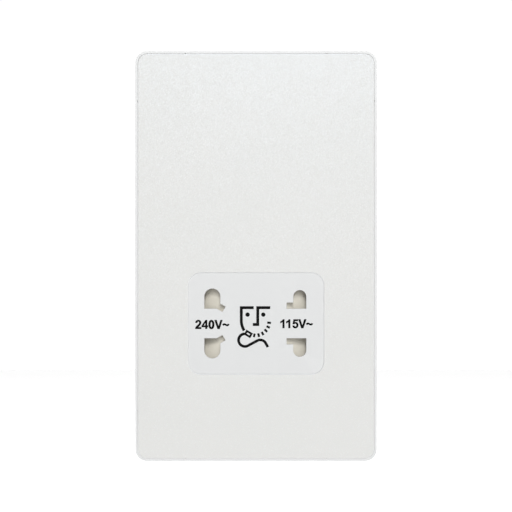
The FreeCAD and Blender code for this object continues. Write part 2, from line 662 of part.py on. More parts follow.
def switch_bridge():
    back = BASE_FRONT - BRIDGE_GAP
    plate = block(-BRIDGE_HALF, BRIDGE_HALF, back - BRIDGE_THICKNESS, back,
                  FASCIA_Z - BRIDGE_HALF, FASCIA_Z + BRIDGE_HALF)
    return rounded(plate, BRIDGE_CORNER_R, 1)


def switch_strip_shapes(grow=0.0):
    """The common strip and the load strip, or with a little added all round, their seats."""
    front = BASE_FRONT - grow
    back = BASE_FRONT + STRIP_THICKNESS + grow
    half = SWITCH_LENGTH / 2 + grow
    tag_half = TAG_WIDTH / 2 + grow
    tag_thin = STRIP_THICKNESS / 2 + grow
    tail = TAB_FRONT + TERMINAL_TAB_REACH
    upper_z = FASCIA_Z + (SWITCH_PAD_INNER_Z + BRIDGE_HALF) / 2
    common = block(-half, half, front, back, FASCIA_Z + SWITCH_PAD_INNER_Z - grow,
                   FASCIA_Z + BRIDGE_HALF + grow)
    common_tag = block(-TERMINAL_PITCH - tag_half, -TERMINAL_PITCH + tag_half, front, tail,
                       upper_z - tag_thin, upper_z + tag_thin)
    bar_half = SWITCH_BAR_WIDTH / 2 + grow
    bar_z = FASCIA_Z - SWITCH_BAR_Z
    load = [block(-half, half, front, back, bar_z - bar_half, bar_z + bar_half)]
    for side in (-1, 1):
        x0, x1 = sorted((side * (SWITCH_PAD_INNER_X - grow), side * half))
        load.append(block(x0, x1, front, back, bar_z, FASCIA_Z - SWITCH_PAD_INNER_Z + grow))
    load.append(block(SWITCH_TAG_X - tag_half, SWITCH_TAG_X + tag_half, front, WELL_BACK / 2,
                      bar_z - tag_thin, bar_z + tag_thin))
    return joined(common, [common_tag]), joined(load[0], load[1:])


def switch_strip_common():
    return switch_strip_shapes()[0]


def switch_strip_load():
    return switch_strip_shapes()[1]


def contact_base():
    plate = panel(BASE_WIDTH, BASE_HEIGHT, FASCIA_CORNER_R, BASE_FRONT, BASE_BACK, FASCIA_Z)
    wells = []
    cuts = []
    for side in OUTLETS:
        x0, x1 = sorted((side * (OUTLET_X - WELL_INWARD), side * (OUTLET_X + WELL_OUTWARD)))
        for pole in POLES:
            z0, z1 = sorted((FASCIA_Z + pole * WELL_INNER_Z, FASCIA_Z + pole * WELL_OUTER_Z))
            wells.append(block(x0 - WELL_WALL, x1 + WELL_WALL, BASE_FRONT, WELL_BACK,
                               z0 - WELL_WALL, z1 + WELL_WALL))
            cuts.append(block(x0, x1, BASE_FRONT - MARGIN, BASE_FRONT + WELL_DEPTH, z0, z1))
            x = contact_x(side)
            z = FASCIA_Z + pole * TAG_Z
            half_x = TAG_WIDTH / 2 + TAG_CLEARANCE
            half_z = STRIP_THICKNESS / 2 + TAG_CLEARANCE
            cuts.append(block(x - half_x, x + half_x, BASE_FRONT, WELL_BACK + MARGIN, z - half_z, z + half_z))
    for x, z in base_screw_places():
        cuts.append(rod_y(SCREW_R + SCREW_HOLE_FIT, BASE_FRONT - MARGIN, BASE_BACK + MARGIN, x, z))
    cuts.extend(switch_strip_shapes(FINE_GAP))
    return joined(plate, wells).cut(cuts)


def contact(side, pole):
    """Folded bronze strip: a fixed inner leaf, and a bowed outer leaf that grips the pin."""
    half = STRIP_THICKNESS / 2
    inner = WELL_INNER_Z + CONTACT_END_GAP + half
    outer = WELL_OUTER_Z - CONTACT_END_GAP - half
    mouth = BASE_FRONT + CONTACT_MOUTH
    depth = CONTACT_BACK - mouth
    grip = inner + (outer - inner) * GRIP_SHARE
    bend = mouth + depth * LEAF_BEND_SHARE
    neck = mouth + depth * LEAF_NECK_SHARE
    profile = [(mouth, inner), (CONTACT_BACK - half, inner), (CONTACT_BACK - half, outer),
               (bend, outer), (neck, grip), (mouth, outer - half)]
    path = tangent_path([Vector(0, y, FASCIA_Z + pole * z) for y, z in profile], 0.3)
    strip = path.makeOffset2D(half, 0, True, False, False)
    x = contact_x(side)
    strip.translate(Vector(x - CONTACT_HALF_WIDTH, 0, 0))
    leaf = strip.extrude(Vector(2 * CONTACT_HALF_WIDTH, 0, 0))
    z = FASCIA_Z + pole * TAG_Z
    tag = block(x - TAG_WIDTH / 2, x + TAG_WIDTH / 2, CONTACT_BACK - half, TAG_END,
                z - STRIP_THICKNESS / 2, z + STRIP_THICKNESS / 2)
    return joined(leaf, [tag])


def common_link():
    """Flat link behind the lower wells that joins the two lower contacts."""
    x = contact_x(1)
    z = FASCIA_Z - TAG_Z
    front = WELL_BACK + FINE_GAP
    back = front + STRIP_THICKNESS
    link = block(-x - TAG_WIDTH, x + TAG_WIDTH, front, back, z - TAG_WIDTH / 2, z + TAG_WIDTH / 2)
    link = rounded(link, LINK_CORNER_R, 1)
    half_x = TAG_WIDTH / 2 + FINE_GAP
    half_z = STRIP_THICKNESS / 2 + FINE_GAP
    holes = [block(side * x - half_x, side * x + half_x, front - MARGIN, back + MARGIN,
                   z - half_z, z + half_z) for side in (-1, 1)]
    return link.cut(holes)


# Transformer

def transformer_core():
    """Stack of E and I laminations, with the middle limb upright."""
    y0 = COIL_Y - CORE_STACK / 2
    y1 = COIL_Y + CORE_STACK / 2
    half = CORE_WIDTH / 2
    body = block(-half, half, y0, y1, CORE_BOTTOM, CORE_TOP)
    cuts = []
    for side in (-1, 1):
        x0, x1 = sorted((side * CORE_LIMB, side * (half - CORE_LIMB)))
        cuts.append(block(x0, x1, y0 - MARGIN, y1 + MARGIN, WINDOW_BOTTOM, WINDOW_TOP))
        for z in (CORE_BOTTOM + CORE_HOLE_INSET, CORE_TOP - CORE_HOLE_INSET):
            cuts.append(rod_y(CORE_HOLE_R, y0 - MARGIN, y1 + MARGIN, side * (half - CORE_HOLE_INSET), z))
    return body.cut(cuts)


def core_clamp():
    """Steel channel over the top and sides of the core, with lips folded under it."""
    half = CORE_WIDTH / 2
    y0 = COIL_Y - CLAMP_WIDTH / 2
    y1 = COIL_Y + CLAMP_WIDTH / 2
    body = block(-half - CLAMP_THICKNESS, half + CLAMP_THICKNESS, y0, y1,
                 CORE_BOTTOM - CLAMP_THICKNESS, CORE_TOP + CLAMP_THICKNESS)
    body = rounded(body, CLAMP_THICKNESS, 1)
    core = block(-half, half, y0 - MARGIN, y1 + MARGIN, CORE_BOTTOM, CORE_TOP)
    opening = block(-half + CLAMP_LIP, half - CLAMP_LIP, y0 - MARGIN, y1 + MARGIN,
                    CORE_BOTTOM - CLAMP_THICKNESS - MARGIN, CORE_BOTTOM + MARGIN)
    return body.cut([core, opening])


def coil_panel(half_x, half_y, corner_r, z0, z1):
    slab = block(-half_x, half_x, COIL_Y - half_y, COIL_Y + half_y, z0, z1)
    return rounded(slab, corner_r, 2)


def bobbin():
    tube_x = CORE_LIMB + BOBBIN_FIT + BOBBIN_WALL
    tube_y = CORE_STACK / 2 + BOBBIN_FIT + BOBBIN_WALL
    middle = (BOBBIN_BOTTOM + BOBBIN_TOP) / 2
    body = coil_panel(tube_x, tube_y, BOBBIN_WALL, BOBBIN_BOTTOM, BOBBIN_TOP)
    flanges = []
    for z in (BOBBIN_BOTTOM, middle - BOBBIN_FLANGE / 2, BOBBIN_TOP - BOBBIN_FLANGE):
        flanges.append(coil_panel(COIL_HALF_X, COIL_HALF, BOBBIN_CORNER_R, z, z + BOBBIN_FLANGE))
    rail_top = BOBBIN_BOTTOM + BOBBIN_FLANGE
    rail_half = 2 * PIN_PITCH + PIN_RAIL_DEPTH / 2
    rail_front = COIL_Y - COIL_HALF
    flanges.append(block(-rail_half, rail_half, rail_front, rail_front + PIN_RAIL_DEPTH,
                         rail_top - PIN_RAIL_HEIGHT, rail_top))
    body = joined(body, flanges)
    bore = block(-CORE_LIMB - BOBBIN_FIT, CORE_LIMB + BOBBIN_FIT, COIL_Y - CORE_STACK / 2 - BOBBIN_FIT,
                 COIL_Y + CORE_STACK / 2 + BOBBIN_FIT, BOBBIN_BOTTOM - MARGIN, BOBBIN_TOP + MARGIN)
    holes = [rod_z(PIN_R + PILOT_FIT, PIN_TIP_Z, PIN_TIP_Z + PIN_LENGTH, x, PIN_Y) for x in pin_places()]
    return body.cut([bore] + holes)


def winding(z0, z1):
    tube_x = CORE_LIMB + BOBBIN_FIT + BOBBIN_WALL + FINE_GAP
    tube_y = CORE_STACK / 2 + BOBBIN_FIT + BOBBIN_WALL + FINE_GAP
    outside = coil_panel(COIL_HALF_X - WINDING_SINK, COIL_HALF - WINDING_SINK, WINDING_CORNER_R, z0, z1)
    inside = coil_panel(tube_x, tube_y, BOBBIN_WALL, z0 - MARGIN, z1 + MARGIN)
    return outside.cut(inside)


def winding_primary():
    middle = (BOBBIN_BOTTOM + BOBBIN_TOP) / 2
    return winding(BOBBIN_BOTTOM + BOBBIN_FLANGE + FINE_GAP, middle - BOBBIN_FLANGE / 2 - FINE_GAP)


def winding_secondary():
    middle = (BOBBIN_BOTTOM + BOBBIN_TOP) / 2
    return winding(middle + BOBBIN_FLANGE / 2 + FINE_GAP, BOBBIN_TOP - BOBBIN_FLANGE - FINE_GAP)


def bobbin_pins():
    return Part.makeCompound([rod_z(PIN_R, PIN_TIP_Z, PIN_TIP_Z + PIN_LENGTH, x, PIN_Y)
                              for x in pin_places()])


def thermal_cutout():
    """Flat thermal link taped to the front of the primary winding."""
    back = COIL_Y - COIL_HALF + WINDING_SINK - FINE_GAP
    z = (BOBBIN_BOTTOM + (BOBBIN_BOTTOM + BOBBIN_TOP) / 2) / 2 + BOBBIN_FLANGE / 4
    body = block(CUTOUT_X - CUTOUT_WIDTH / 2, CUTOUT_X + CUTOUT_WIDTH / 2, back - CUTOUT_DEPTH, back,
                 z - CUTOUT_HEIGHT / 2, z + CUTOUT_HEIGHT / 2)
    return rounded(body, CUTOUT_CORNER_R, 2)


# Rear of the unit

def rear_housing():
    low = panel(2 * HOUSING_HALF_X, HOUSING_TOP - HOUSING_BOTTOM, HOUSING_CORNER_R, FLOOR_BACK, LOW_BACK,
                (HOUSING_TOP + HOUSING_BOTTOM) / 2)
    low = low.makeFillet(HOUSING_REAR_R, edges_at_depth(low, LOW_BACK))
    deep = panel(2 * HOUSING_HALF_X, HOUSING_TOP - DEEP_BOTTOM, HOUSING_CORNER_R, FLOOR_BACK, DEEP_BACK,
                 (HOUSING_TOP + DEEP_BOTTOM) / 2)
    deep = deep.makeFillet(HOUSING_REAR_R, edges_at_depth(deep, DEEP_BACK))
    ears = []
    ear_back = FLOOR_BACK + EAR_THICKNESS
    for x, z in ear_places():
        inward = HOUSING_TOP - HOUSING_CORNER_R if z > 0 else HOUSING_BOTTOM + HOUSING_CORNER_R
        z0, z1 = sorted((inward, z))
        ears.append(block(x - EAR_R, x + EAR_R, FLOOR_BACK, ear_back, z0, z1))
        ears.append(rod_y(EAR_R, FLOOR_BACK, ear_back, x, z))
    body = joined(low, [deep] + ears)
    low_hollow = block(-HOUSING_INNER_X, HOUSING_INNER_X, FLOOR_BACK - MARGIN, LOW_INSIDE,
                       HOUSING_INNER_BOTTOM, HOUSING_INNER_TOP)
    deep_hollow = block(-HOUSING_INNER_X, HOUSING_INNER_X, FLOOR_BACK - MARGIN, DEEP_INSIDE,
                        DEEP_INNER_BOTTOM, HOUSING_INNER_TOP)
    low_hollow = rounded(low_hollow, HOUSING_CORNER_R - HOUSING_WALL, 1)
    deep_hollow = rounded(deep_hollow, HOUSING_CORNER_R - HOUSING_WALL, 1)
    bosses = [rod_y(SCREW_R + SCREW_BOSS_WALL, LOW_INSIDE - HOUSING_WALL, LOW_BACK,
                    side * BLOCK_SCREW_X, BLOCK_SCREW_Z) for side in (-1, 1)]
    body = joined(body.cut([low_hollow, deep_hollow]), cradle_ribs() + bosses)

    cuts = []
    for x, z in ear_places():
        cuts.append(rod_y(SCREW_R + SCREW_HOLE_FIT, FLOOR_BACK - MARGIN, ear_back + MARGIN, x, z))
    for side in (-1, 1):
        cuts.append(rod_y(SCREW_R + PILOT_FIT, LOW_INSIDE - HOUSING_WALL - MARGIN, LOW_BACK + MARGIN,
                          side * BLOCK_SCREW_X, BLOCK_SCREW_Z))
    tab_z = TERMINAL_TOP_Z - TERMINAL_HEIGHT / 4
    half_x = TERMINAL_TAB_WIDTH / 2 + TAG_CLEARANCE
    half_z = TERMINAL_TAB_THICKNESS / 2 + TAG_CLEARANCE
    for x in terminal_places():
        cuts.append(block(x - half_x, x + half_x, LOW_INSIDE - MARGIN, LOW_BACK + MARGIN,
                          tab_z - half_z, tab_z + half_z))
    middle = (VENT_ROWS - 1) / 2
    for row in range(VENT_ROWS):
        z = CORE_Z + (row - middle) * VENT_PITCH
        for side in (-1, 1):
            x = side * VENT_X
            cuts.append(block(x - VENT_WIDTH / 2, x + VENT_WIDTH / 2, DEEP_INSIDE - MARGIN / 4,
                              DEEP_BACK + MARGIN, z - VENT_HEIGHT / 2, z + VENT_HEIGHT / 2))
    lowest_vent = CORE_Z - middle * VENT_PITCH - VENT_HEIGHT / 2
    cuts.append(panel(LABEL_WIDTH, LABEL_HEIGHT, LABEL_CORNER_R, DEEP_BACK - LABEL_DEPTH, DEEP_BACK + MARGIN,
                      (lowest_vent + DEEP_BOTTOM) / 2))
    return body.cut(cuts)


def cradle_ribs():
    """Ribs on the side walls that fit the clamp's sides and the rear corners of the core."""
    ribs = []
    gap_x = CLAMP_HALF_X
    core_back = COIL_Y + CORE_STACK / 2 + CRADLE_FIT
    core_front = COIL_Y - CORE_STACK / 2
    hold_x = CORE_WIDTH / 2 - CRADLE_HOLD
    wall_x = HOUSING_INNER_X + HOUSING_WALL / 2
    rear = DEEP_INSIDE + HOUSING_WALL / 2
    for side in (-1, 1):
        outline = [(side * gap_x, core_front), (side * wall_x, core_front), (side * wall_x, rear),
                   (side * hold_x, rear), (side * hold_x, core_back), (side * gap_x, core_back)]
        for z in (CORE_BOTTOM + CRADLE_RIB_Z, CORE_TOP - CRADLE_RIB_Z):
            ribs.append(prism_z(outline, z - CRADLE_RIB / 2, z + CRADLE_RIB / 2))
    return ribs


def terminal_block():
    body = block(-BLOCK_HALF_X, BLOCK_HALF_X, LOW_BACK, BLOCK_BACK, BLOCK_BOTTOM_Z, BLOCK_TOP_Z)
    body = rounded(body, BLOCK_CORNER_R, 1)
    ears = []
    for side in (-1, 1):
        x = side * BLOCK_SCREW_X
        ears.append(rod_y(BLOCK_EAR_R, LOW_BACK, LOW_BACK + BLOCK_EAR_THICKNESS, x, BLOCK_SCREW_Z))
        x0, x1 = sorted((side * (BLOCK_HALF_X - BLOCK_WALL), x))
        ears.append(block(x0, x1, LOW_BACK, LOW_BACK + BLOCK_EAR_THICKNESS,
                          BLOCK_SCREW_Z - BLOCK_EAR_R, BLOCK_SCREW_Z + BLOCK_EAR_R))
    body = joined(body, ears)
    cuts = []
    half = TERMINAL_WIDTH / 2 + TERMINAL_GAP
    screw_z = (TERMINAL_TOP_Z + TERMINAL_BOTTOM_Z) / 2
    access_r = TERMINAL_SCREW_HEAD_R + SCREW_HOLE_FIT
    for x in terminal_places():
        cuts.append(block(x - half, x + half, LOW_BACK - MARGIN, TERMINAL_BACK + TERMINAL_GAP,
                          TERMINAL_BOTTOM_Z - TERMINAL_GAP, TERMINAL_TOP_Z + TERMINAL_GAP))
        cuts.append(rod_z(BLOCK_ENTRY_R, BLOCK_BOTTOM_Z - MARGIN, TERMINAL_BOTTOM_Z, x, BORE_Y))
        cuts.append(rod_y(access_r, TERMINAL_BACK, BLOCK_BACK + MARGIN, x, screw_z))
    clear_y = LOW_BACK + BLOCK_EAR_THICKNESS
    for side in (-1, 1):
        x = side * BLOCK_SCREW_X
        cuts.append(rod_y(SCREW_R + SCREW_HOLE_FIT, LOW_BACK - MARGIN, clear_y + MARGIN, x, BLOCK_SCREW_Z))
        cuts.append(rod_y(SCREW_HEAD_R + SCREW_HOLE_FIT, clear_y, BLOCK_BACK + MARGIN, x, BLOCK_SCREW_Z))
    return body.cut(cuts)


def terminal(x):
    """Brass block with a wire bore from below, a clamping screw hole from behind and a front tab."""
    half = TERMINAL_WIDTH / 2
    body = block(x - half, x + half, TERMINAL_FRONT, TERMINAL_BACK, TERMINAL_BOTTOM_Z, TERMINAL_TOP_Z)
    body = rounded(body, TERMINAL_CORNER_R, 2)
    tab_z = TERMINAL_TOP_Z - TERMINAL_HEIGHT / 4
    tab = block(x - TERMINAL_TAB_WIDTH / 2, x + TERMINAL_TAB_WIDTH / 2, TAB_FRONT,
                TERMINAL_FRONT + BLOCK_WALL, tab_z - TERMINAL_TAB_THICKNESS / 2,
                tab_z + TERMINAL_TAB_THICKNESS / 2)
    bore = rod_z(TERMINAL_BORE_R, TERMINAL_BOTTOM_Z - MARGIN, TERMINAL_TOP_Z + MARGIN, x, BORE_Y)
    screw_z = (TERMINAL_TOP_Z + TERMINAL_BOTTOM_Z) / 2
    tapping = rod_y(TERMINAL_SCREW_R + PILOT_FIT, BORE_Y, TERMINAL_BACK + MARGIN, x, screw_z)
    return joined(body, [tab]).cut([bore, tapping])


def terminal_screws():
    """Clamping screws, backed out so that the wire bores are open."""
    z = (TERMINAL_TOP_Z + TERMINAL_BOTTOM_Z) / 2
    tip = BORE_Y + TERMINAL_BORE_R + TERMINAL_SCREW_GAP
    seat = tip + TERMINAL_SCREW_LENGTH
    return Part.makeCompound([screw(TERMINAL_SCREW_R, TERMINAL_SCREW_HEAD_R, TERMINAL_SCREW_LENGTH,
                                    SCREW_TIP / 2, x, z, seat) for x in terminal_places()])


# Screws and leads

def housing_screws():
    return Part.makeCompound([screw(SCREW_R, SCREW_HEAD_R, SCREW_LENGTH, SCREW_TIP, x, z,
                                    FLOOR_BACK + EAR_THICKNESS) for x, z in ear_places()])


def base_screws():
    return Part.makeCompound([screw(SCREW_R, SCREW_HEAD_R, SCREW_LENGTH, SCREW_TIP, x, z, BASE_BACK)
                              for x, z in base_screw_places()])


def block_screws():
    seat = LOW_BACK + BLOCK_EAR_THICKNESS
    return Part.makeCompound([screw(SCREW_R, SCREW_HEAD_R, SCREW_LENGTH, SCREW_TIP, side * BLOCK_SCREW_X,
                                    BLOCK_SCREW_Z, seat) for side in (-1, 1)])


def leads():
    """Routes of the internal wires, each from one terminal or tag to the next."""
    tab_top = TERMINAL_TOP_Z - TERMINAL_HEIGHT / 4 + TERMINAL_TAB_THICKNESS / 2 + FINE_GAP
    tab_y = TAB_FRONT + LEAD_R
    corner_z = (CORE_BOTTOM + FASCIA_Z + CHAMBER_HALF_Z) / 2
    turn_z = CORE_BOTTOM - CLAMP_THICKNESS - 2 * LEAD_R
    end_z = PIN_TIP_Z - FINE_GAP
    tag_y = WELL_BACK + LEAD_R + FINE_GAP
    tag_top = FASCIA_Z + TAG_Z + STRIP_THICKNESS / 2 + FINE_GAP
    common_z = FASCIA_Z + (SWITCH_PAD_INNER_Z + BRIDGE_HALF) / 2 - STRIP_THICKNESS / 2 - FINE_GAP
    load_top = FASCIA_Z - SWITCH_BAR_Z + STRIP_THICKNESS / 2 + FINE_GAP
    load_y = WELL_BACK / 2 - LEAD_R
    link_y = WELL_BACK + STRIP_THICKNESS + LEAD_R + 2 * FINE_GAP
    link_z = FASCIA_Z - TAG_Z
    contact_place = contact_x(1)
    far_pin, near_pin = 2 * PIN_PITCH, PIN_PITCH
    return {
        "lead_live": lead((-TERMINAL_PITCH, tab_y, tab_top), (-TERMINAL_PITCH, tab_y, common_z)),
        "lead_neutral": lead((TERMINAL_PITCH, tab_y, tab_top), (TERMINAL_PITCH, tab_y, corner_z),
                             (near_pin, PIN_Y, turn_z), (near_pin, PIN_Y, end_z)),
        "lead_switched": lead((SWITCH_TAG_X, load_y, load_top), (SWITCH_TAG_X, load_y, corner_z),
                              (0, PIN_Y, turn_z), (0, PIN_Y, end_z)),
        "lead_secondary_common": lead((-near_pin / 2, link_y, link_z), (-near_pin / 2, link_y, corner_z),
                                      (-near_pin, PIN_Y, turn_z), (-near_pin, PIN_Y, end_z)),
        "lead_secondary_240": lead((-contact_place, tag_y, tag_top), (-contact_place, tag_y, corner_z),
                                   (-far_pin, PIN_Y, turn_z), (-far_pin, PIN_Y, end_z)),
        "lead_secondary_115": lead((contact_place, tag_y, tag_top), (contact_place, tag_y, corner_z),
                                   (far_pin, PIN_Y, turn_z), (far_pin, PIN_Y, end_z)),
    }


def sub_parts():
    parts = {
        "mounting_frame": mounting_frame(),
        "cover_plate": cover_plate(),
        "fascia": fascia(),
        "shutter": shutter(),
        "spring_left": return_spring(-1),
        "spring_right": return_spring(1),
        "switch_bridge": switch_bridge(),
        "switch_strip_common": switch_strip_common(),
        "switch_strip_load": switch_strip_load(),
        "contact_base": contact_base(),
        "contact_240_top": contact(-1, 1),
        "contact_240_bottom": contact(-1, -1),
        "contact_115_top": contact(1, 1),
        "contact_115_bottom": contact(1, -1),
        "common_link": common_link(),
        "transformer_core": transformer_core(),
        "core_clamp": core_clamp(),
        "bobbin": bobbin(),
        "winding_primary": winding_primary(),
        "winding_secondary": winding_secondary(),
        "bobbin_pins": bobbin_pins(),
        "thermal_cutout": thermal_cutout(),
        "rear_housing": rear_housing(),
        "terminal_block": terminal_block(),
        "terminal_live": terminal(-TERMINAL_PITCH),
        "terminal_earth": terminal(0.0),
        "terminal_neutral": terminal(TERMINAL_PITCH),
        "terminal_screws": terminal_screws(),
        "housing_screws": housing_screws(),
        "base_screws": base_screws(),
        "block_screws": block_screws(),
    }
    parts.update(leads())
    return parts


os.makedirs("parts", exist_ok=True)
for name, shape in sub_parts().items():
    shape.exportStep(f"parts/{name}.step")
    print(name, "solids", len(shape.Solids), "valid", shape.isValid(), "volume", round(shape.Volume, 2))
print("shutter travel each way", round(SHUTTER_TRAVEL, 3))
print("deep back", DEEP_BACK, "low back", LOW_BACK, "bore y", BORE_Y, "terminal bottom", TERMINAL_BOTTOM_Z)
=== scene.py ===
import json
import math

import bmesh
import bpy
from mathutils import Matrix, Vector


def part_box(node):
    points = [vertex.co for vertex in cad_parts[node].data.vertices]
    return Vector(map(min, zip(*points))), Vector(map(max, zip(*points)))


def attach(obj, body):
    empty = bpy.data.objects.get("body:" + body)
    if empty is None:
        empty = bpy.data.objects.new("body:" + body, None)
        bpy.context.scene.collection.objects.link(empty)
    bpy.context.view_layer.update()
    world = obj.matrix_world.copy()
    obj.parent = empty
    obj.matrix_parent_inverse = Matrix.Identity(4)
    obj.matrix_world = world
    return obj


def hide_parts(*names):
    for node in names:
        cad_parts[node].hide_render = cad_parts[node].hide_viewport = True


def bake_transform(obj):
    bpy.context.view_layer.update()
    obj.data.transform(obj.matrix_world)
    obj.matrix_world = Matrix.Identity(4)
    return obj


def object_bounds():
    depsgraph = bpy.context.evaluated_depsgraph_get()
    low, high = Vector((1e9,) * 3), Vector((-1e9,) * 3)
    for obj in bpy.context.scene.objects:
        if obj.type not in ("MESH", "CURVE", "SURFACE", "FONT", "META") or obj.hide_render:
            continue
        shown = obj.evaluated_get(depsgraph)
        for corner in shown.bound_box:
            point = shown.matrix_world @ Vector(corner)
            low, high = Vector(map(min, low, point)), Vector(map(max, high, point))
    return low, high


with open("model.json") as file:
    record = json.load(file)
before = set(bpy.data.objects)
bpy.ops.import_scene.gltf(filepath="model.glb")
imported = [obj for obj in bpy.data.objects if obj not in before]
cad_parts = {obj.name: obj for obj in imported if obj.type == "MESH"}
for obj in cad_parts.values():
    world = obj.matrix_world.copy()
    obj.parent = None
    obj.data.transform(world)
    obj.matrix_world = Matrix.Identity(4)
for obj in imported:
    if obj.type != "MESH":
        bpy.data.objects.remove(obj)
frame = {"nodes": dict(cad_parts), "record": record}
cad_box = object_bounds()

# Shaver supply unit: Z up, X to the right seen from the front, Y into the wall, in metres.

MM = 0.001

# View
VIEW_WIDTH = 182.5 * MM
VIEW_DISTANCE = 600 * MM
VIEW_X = -0.02 * MM
VIEW_Z = 0.07 * MM
SENSOR = 36.0

# Lamps, sky and floor
SKY_DIFFUSE = 0.28
SKY_SEEN = 1.02
KEY_POWER = 20.4
KEY_SIZE = 0.62
KEY_PLACE = (0.12, -1.70, 1.02)
SHEEN_POWER = 3.8
SHEEN_SIZE = 0.2
SHEEN_PLACE = (0.05, -2.0, 0.60)
BACK_POWER = 3.0
BACK_SIZE = 0.5
BACK_PLACE = (0.8, 0.6, 0.4)
FLOOR_DROP = 70 * MM
FLOOR_SIZE = 3.0
FLOOR_LIFT = 0.55
FLOOR_LEVEL = 235

# Painted light: a glow in the white plastic that lifts the shade in the narrow gaps beside the rim and the
# window
PAINTED_GAP_LIGHT = 0.17
RIM_PAINTED_GLOW = (1.0, 0.97, 0.94, 1.0)
WINDOW_PAINTED_GLOW = (1.0, 0.99, 0.96, 1.0)
NO_GLOW = (0.0, 0.0, 0.0, 1.0)
RIM_WALL_Y = -3 * MM

# Print on the insert
INSERT_Z = -24 * MM
INSERT_FACE_Y = -6.4 * MM
INK_THICKNESS = 0.02 * MM
INK_OVERLAP = 0.005 * MM
CAP_HEIGHT = 3.07 * MM
BASELINE = -1.87 * MM
BASELINE_RIGHT = -1.61 * MM
GLYPH_SPREAD = 0.085 * MM
CURVE_STEPS = 6
RING_STEPS = 40
INK_WELD = 0.0005 * MM
STROKE_MITRE = 0.3
OUTLINE_MITRE = 0.5

# Sign on the insert, in millimetres from the insert's centre
SIGN_LINE = 1.035
BROW_Z = 5.647
EYE_Z = 3.17
EYE_R = 0.77
RAZOR_PLACE = (-2.749, -3.71)
RAZOR_LEAN = -31.0
FLEX_WIDTH = 0.975
STUBBLE_LENGTH = 1.33
STUBBLE_WIDTH = 0.785
STUBBLE_LIFT = 0.03

# Return springs
WIRE_R = 0.2 * MM
SPRING_TURNS = 8
SPRING_STEPS = 28
WIRE_SIDES = 10

# Shared effects
FINER_FLAKES = 1.9
EDGE_STEEPNESS = 14.0
FLAT_COSINE = 0.998
WAVER_SCALE = 90.0
SCRATCH_STRETCH = (0.04, 1.0, 1.0)


# Building blocks for materials

def linear(*levels):
    """Colour given as 0 to 255 display levels, as linear light."""
    out = []
    for level in levels:
        share = level / 255
        out.append(share / 12.92 if share <= 0.04045 else ((share + 0.055) / 1.055) ** 2.4)
    return (*out, 1.0)


def add(tree, kind, **values):
    """New node; a value named after an input sets that input, and any other sets the node itself."""
    node = tree.nodes.new("ShaderNode" + kind)
    for name, value in values.items():
        label = name.replace("_", " ")
        if label in node.inputs:
            node.inputs[label].default_value = value
        else:
            setattr(node, name, value)
    return node


def maths(tree, operation, first, second=None, clamp=False):
    """Result of a Math node; a plain number is set on its input, and a socket is linked to it."""
    node = add(tree, "Math", operation=operation, use_clamp=clamp)
    for slot, value in zip(node.inputs, (first, second)):
        if value is None:
            continue
        if isinstance(value, (int, float)):
            slot.default_value = value
        else:
            tree.links.new(value, slot)
    return node.outputs[0]


def vector_maths(tree, operation, first, second=None):
    """Result of a Vector Math node on a socket, and on a second socket or a plain vector."""
    node = add(tree, "VectorMath", operation=operation)
    tree.links.new(first, node.inputs[0])
    if isinstance(second, tuple):
        node.inputs[1].default_value = second
    elif second is not None:
        tree.links.new(second, node.inputs["Scale"] if operation == "SCALE" else node.inputs[1])
    return node.outputs["Vector"]


def blend_colours(tree, share, first, second, blend="MIX"):
    """Colour between a first and a second; each is a socket or a plain colour."""
    node = add(tree, "Mix", data_type="RGBA", blend_type=blend)
    if isinstance(share, float):
        node.inputs["Factor"].default_value = share
    else:
        tree.links.new(share, node.inputs["Factor"])
    for slot, value in ((node.inputs[6], first), (node.inputs[7], second)):
        if isinstance(value, tuple):
            slot.default_value = value
        else:
            tree.links.new(value, slot)
    return node.outputs[2]


def new_group(name, inputs, outputs):
    """Shader node group with its inputs and outputs; inputs are (name, kind, value)."""
    group = bpy.data.node_groups.new(name, "ShaderNodeTree")
    for label, kind, value in inputs:
        socket = group.interface.new_socket(name=label, in_out="INPUT", socket_type="NodeSocket" + kind)
        socket.default_value = value
    for label, kind in outputs:
        group.interface.new_socket(name=label, in_out="OUTPUT", socket_type="NodeSocket" + kind)
    start = group.nodes.new("NodeGroupInput")
    end = group.nodes.new("NodeGroupOutput")
    return group, start, end


def object_place(tree):
    """Place on the object, in metres."""
    return add(tree, "TexCoord").outputs["Object"]


def split_axes(tree, vector):
    """X, Y and Z of a vector, each as a socket."""
    parts = add(tree, "SeparateXYZ")
    tree.links.new(vector, parts.inputs["Vector"])
    return parts.outputs


def moulded_skin():
    """Fine satin grain and soft mottling of a moulded surface."""
    group, start, end = new_group(
        "moulded skin",
        [("Grain Scale", "Float", 3000.0), ("Mottle Scale", "Float", 60.0)],
        [("Grain", "Float"), ("Mottle", "Float")])
    place = object_place(group)
    grain = add(group, "TexNoise", Detail=2.0, Roughness=0.6)
    mottle = add(group, "TexNoise", Detail=3.0, Roughness=0.5)
    for noise, scale in ((grain, "Grain Scale"), (mottle, "Mottle Scale")):
        group.links.new(place, noise.inputs["Vector"])
        group.links.new(start.outputs[scale], noise.inputs["Scale"])
    group.links.new(grain.outputs["Fac"], end.inputs["Grain"])
    group.links.new(mottle.outputs["Fac"], end.inputs["Mottle"])
    return group


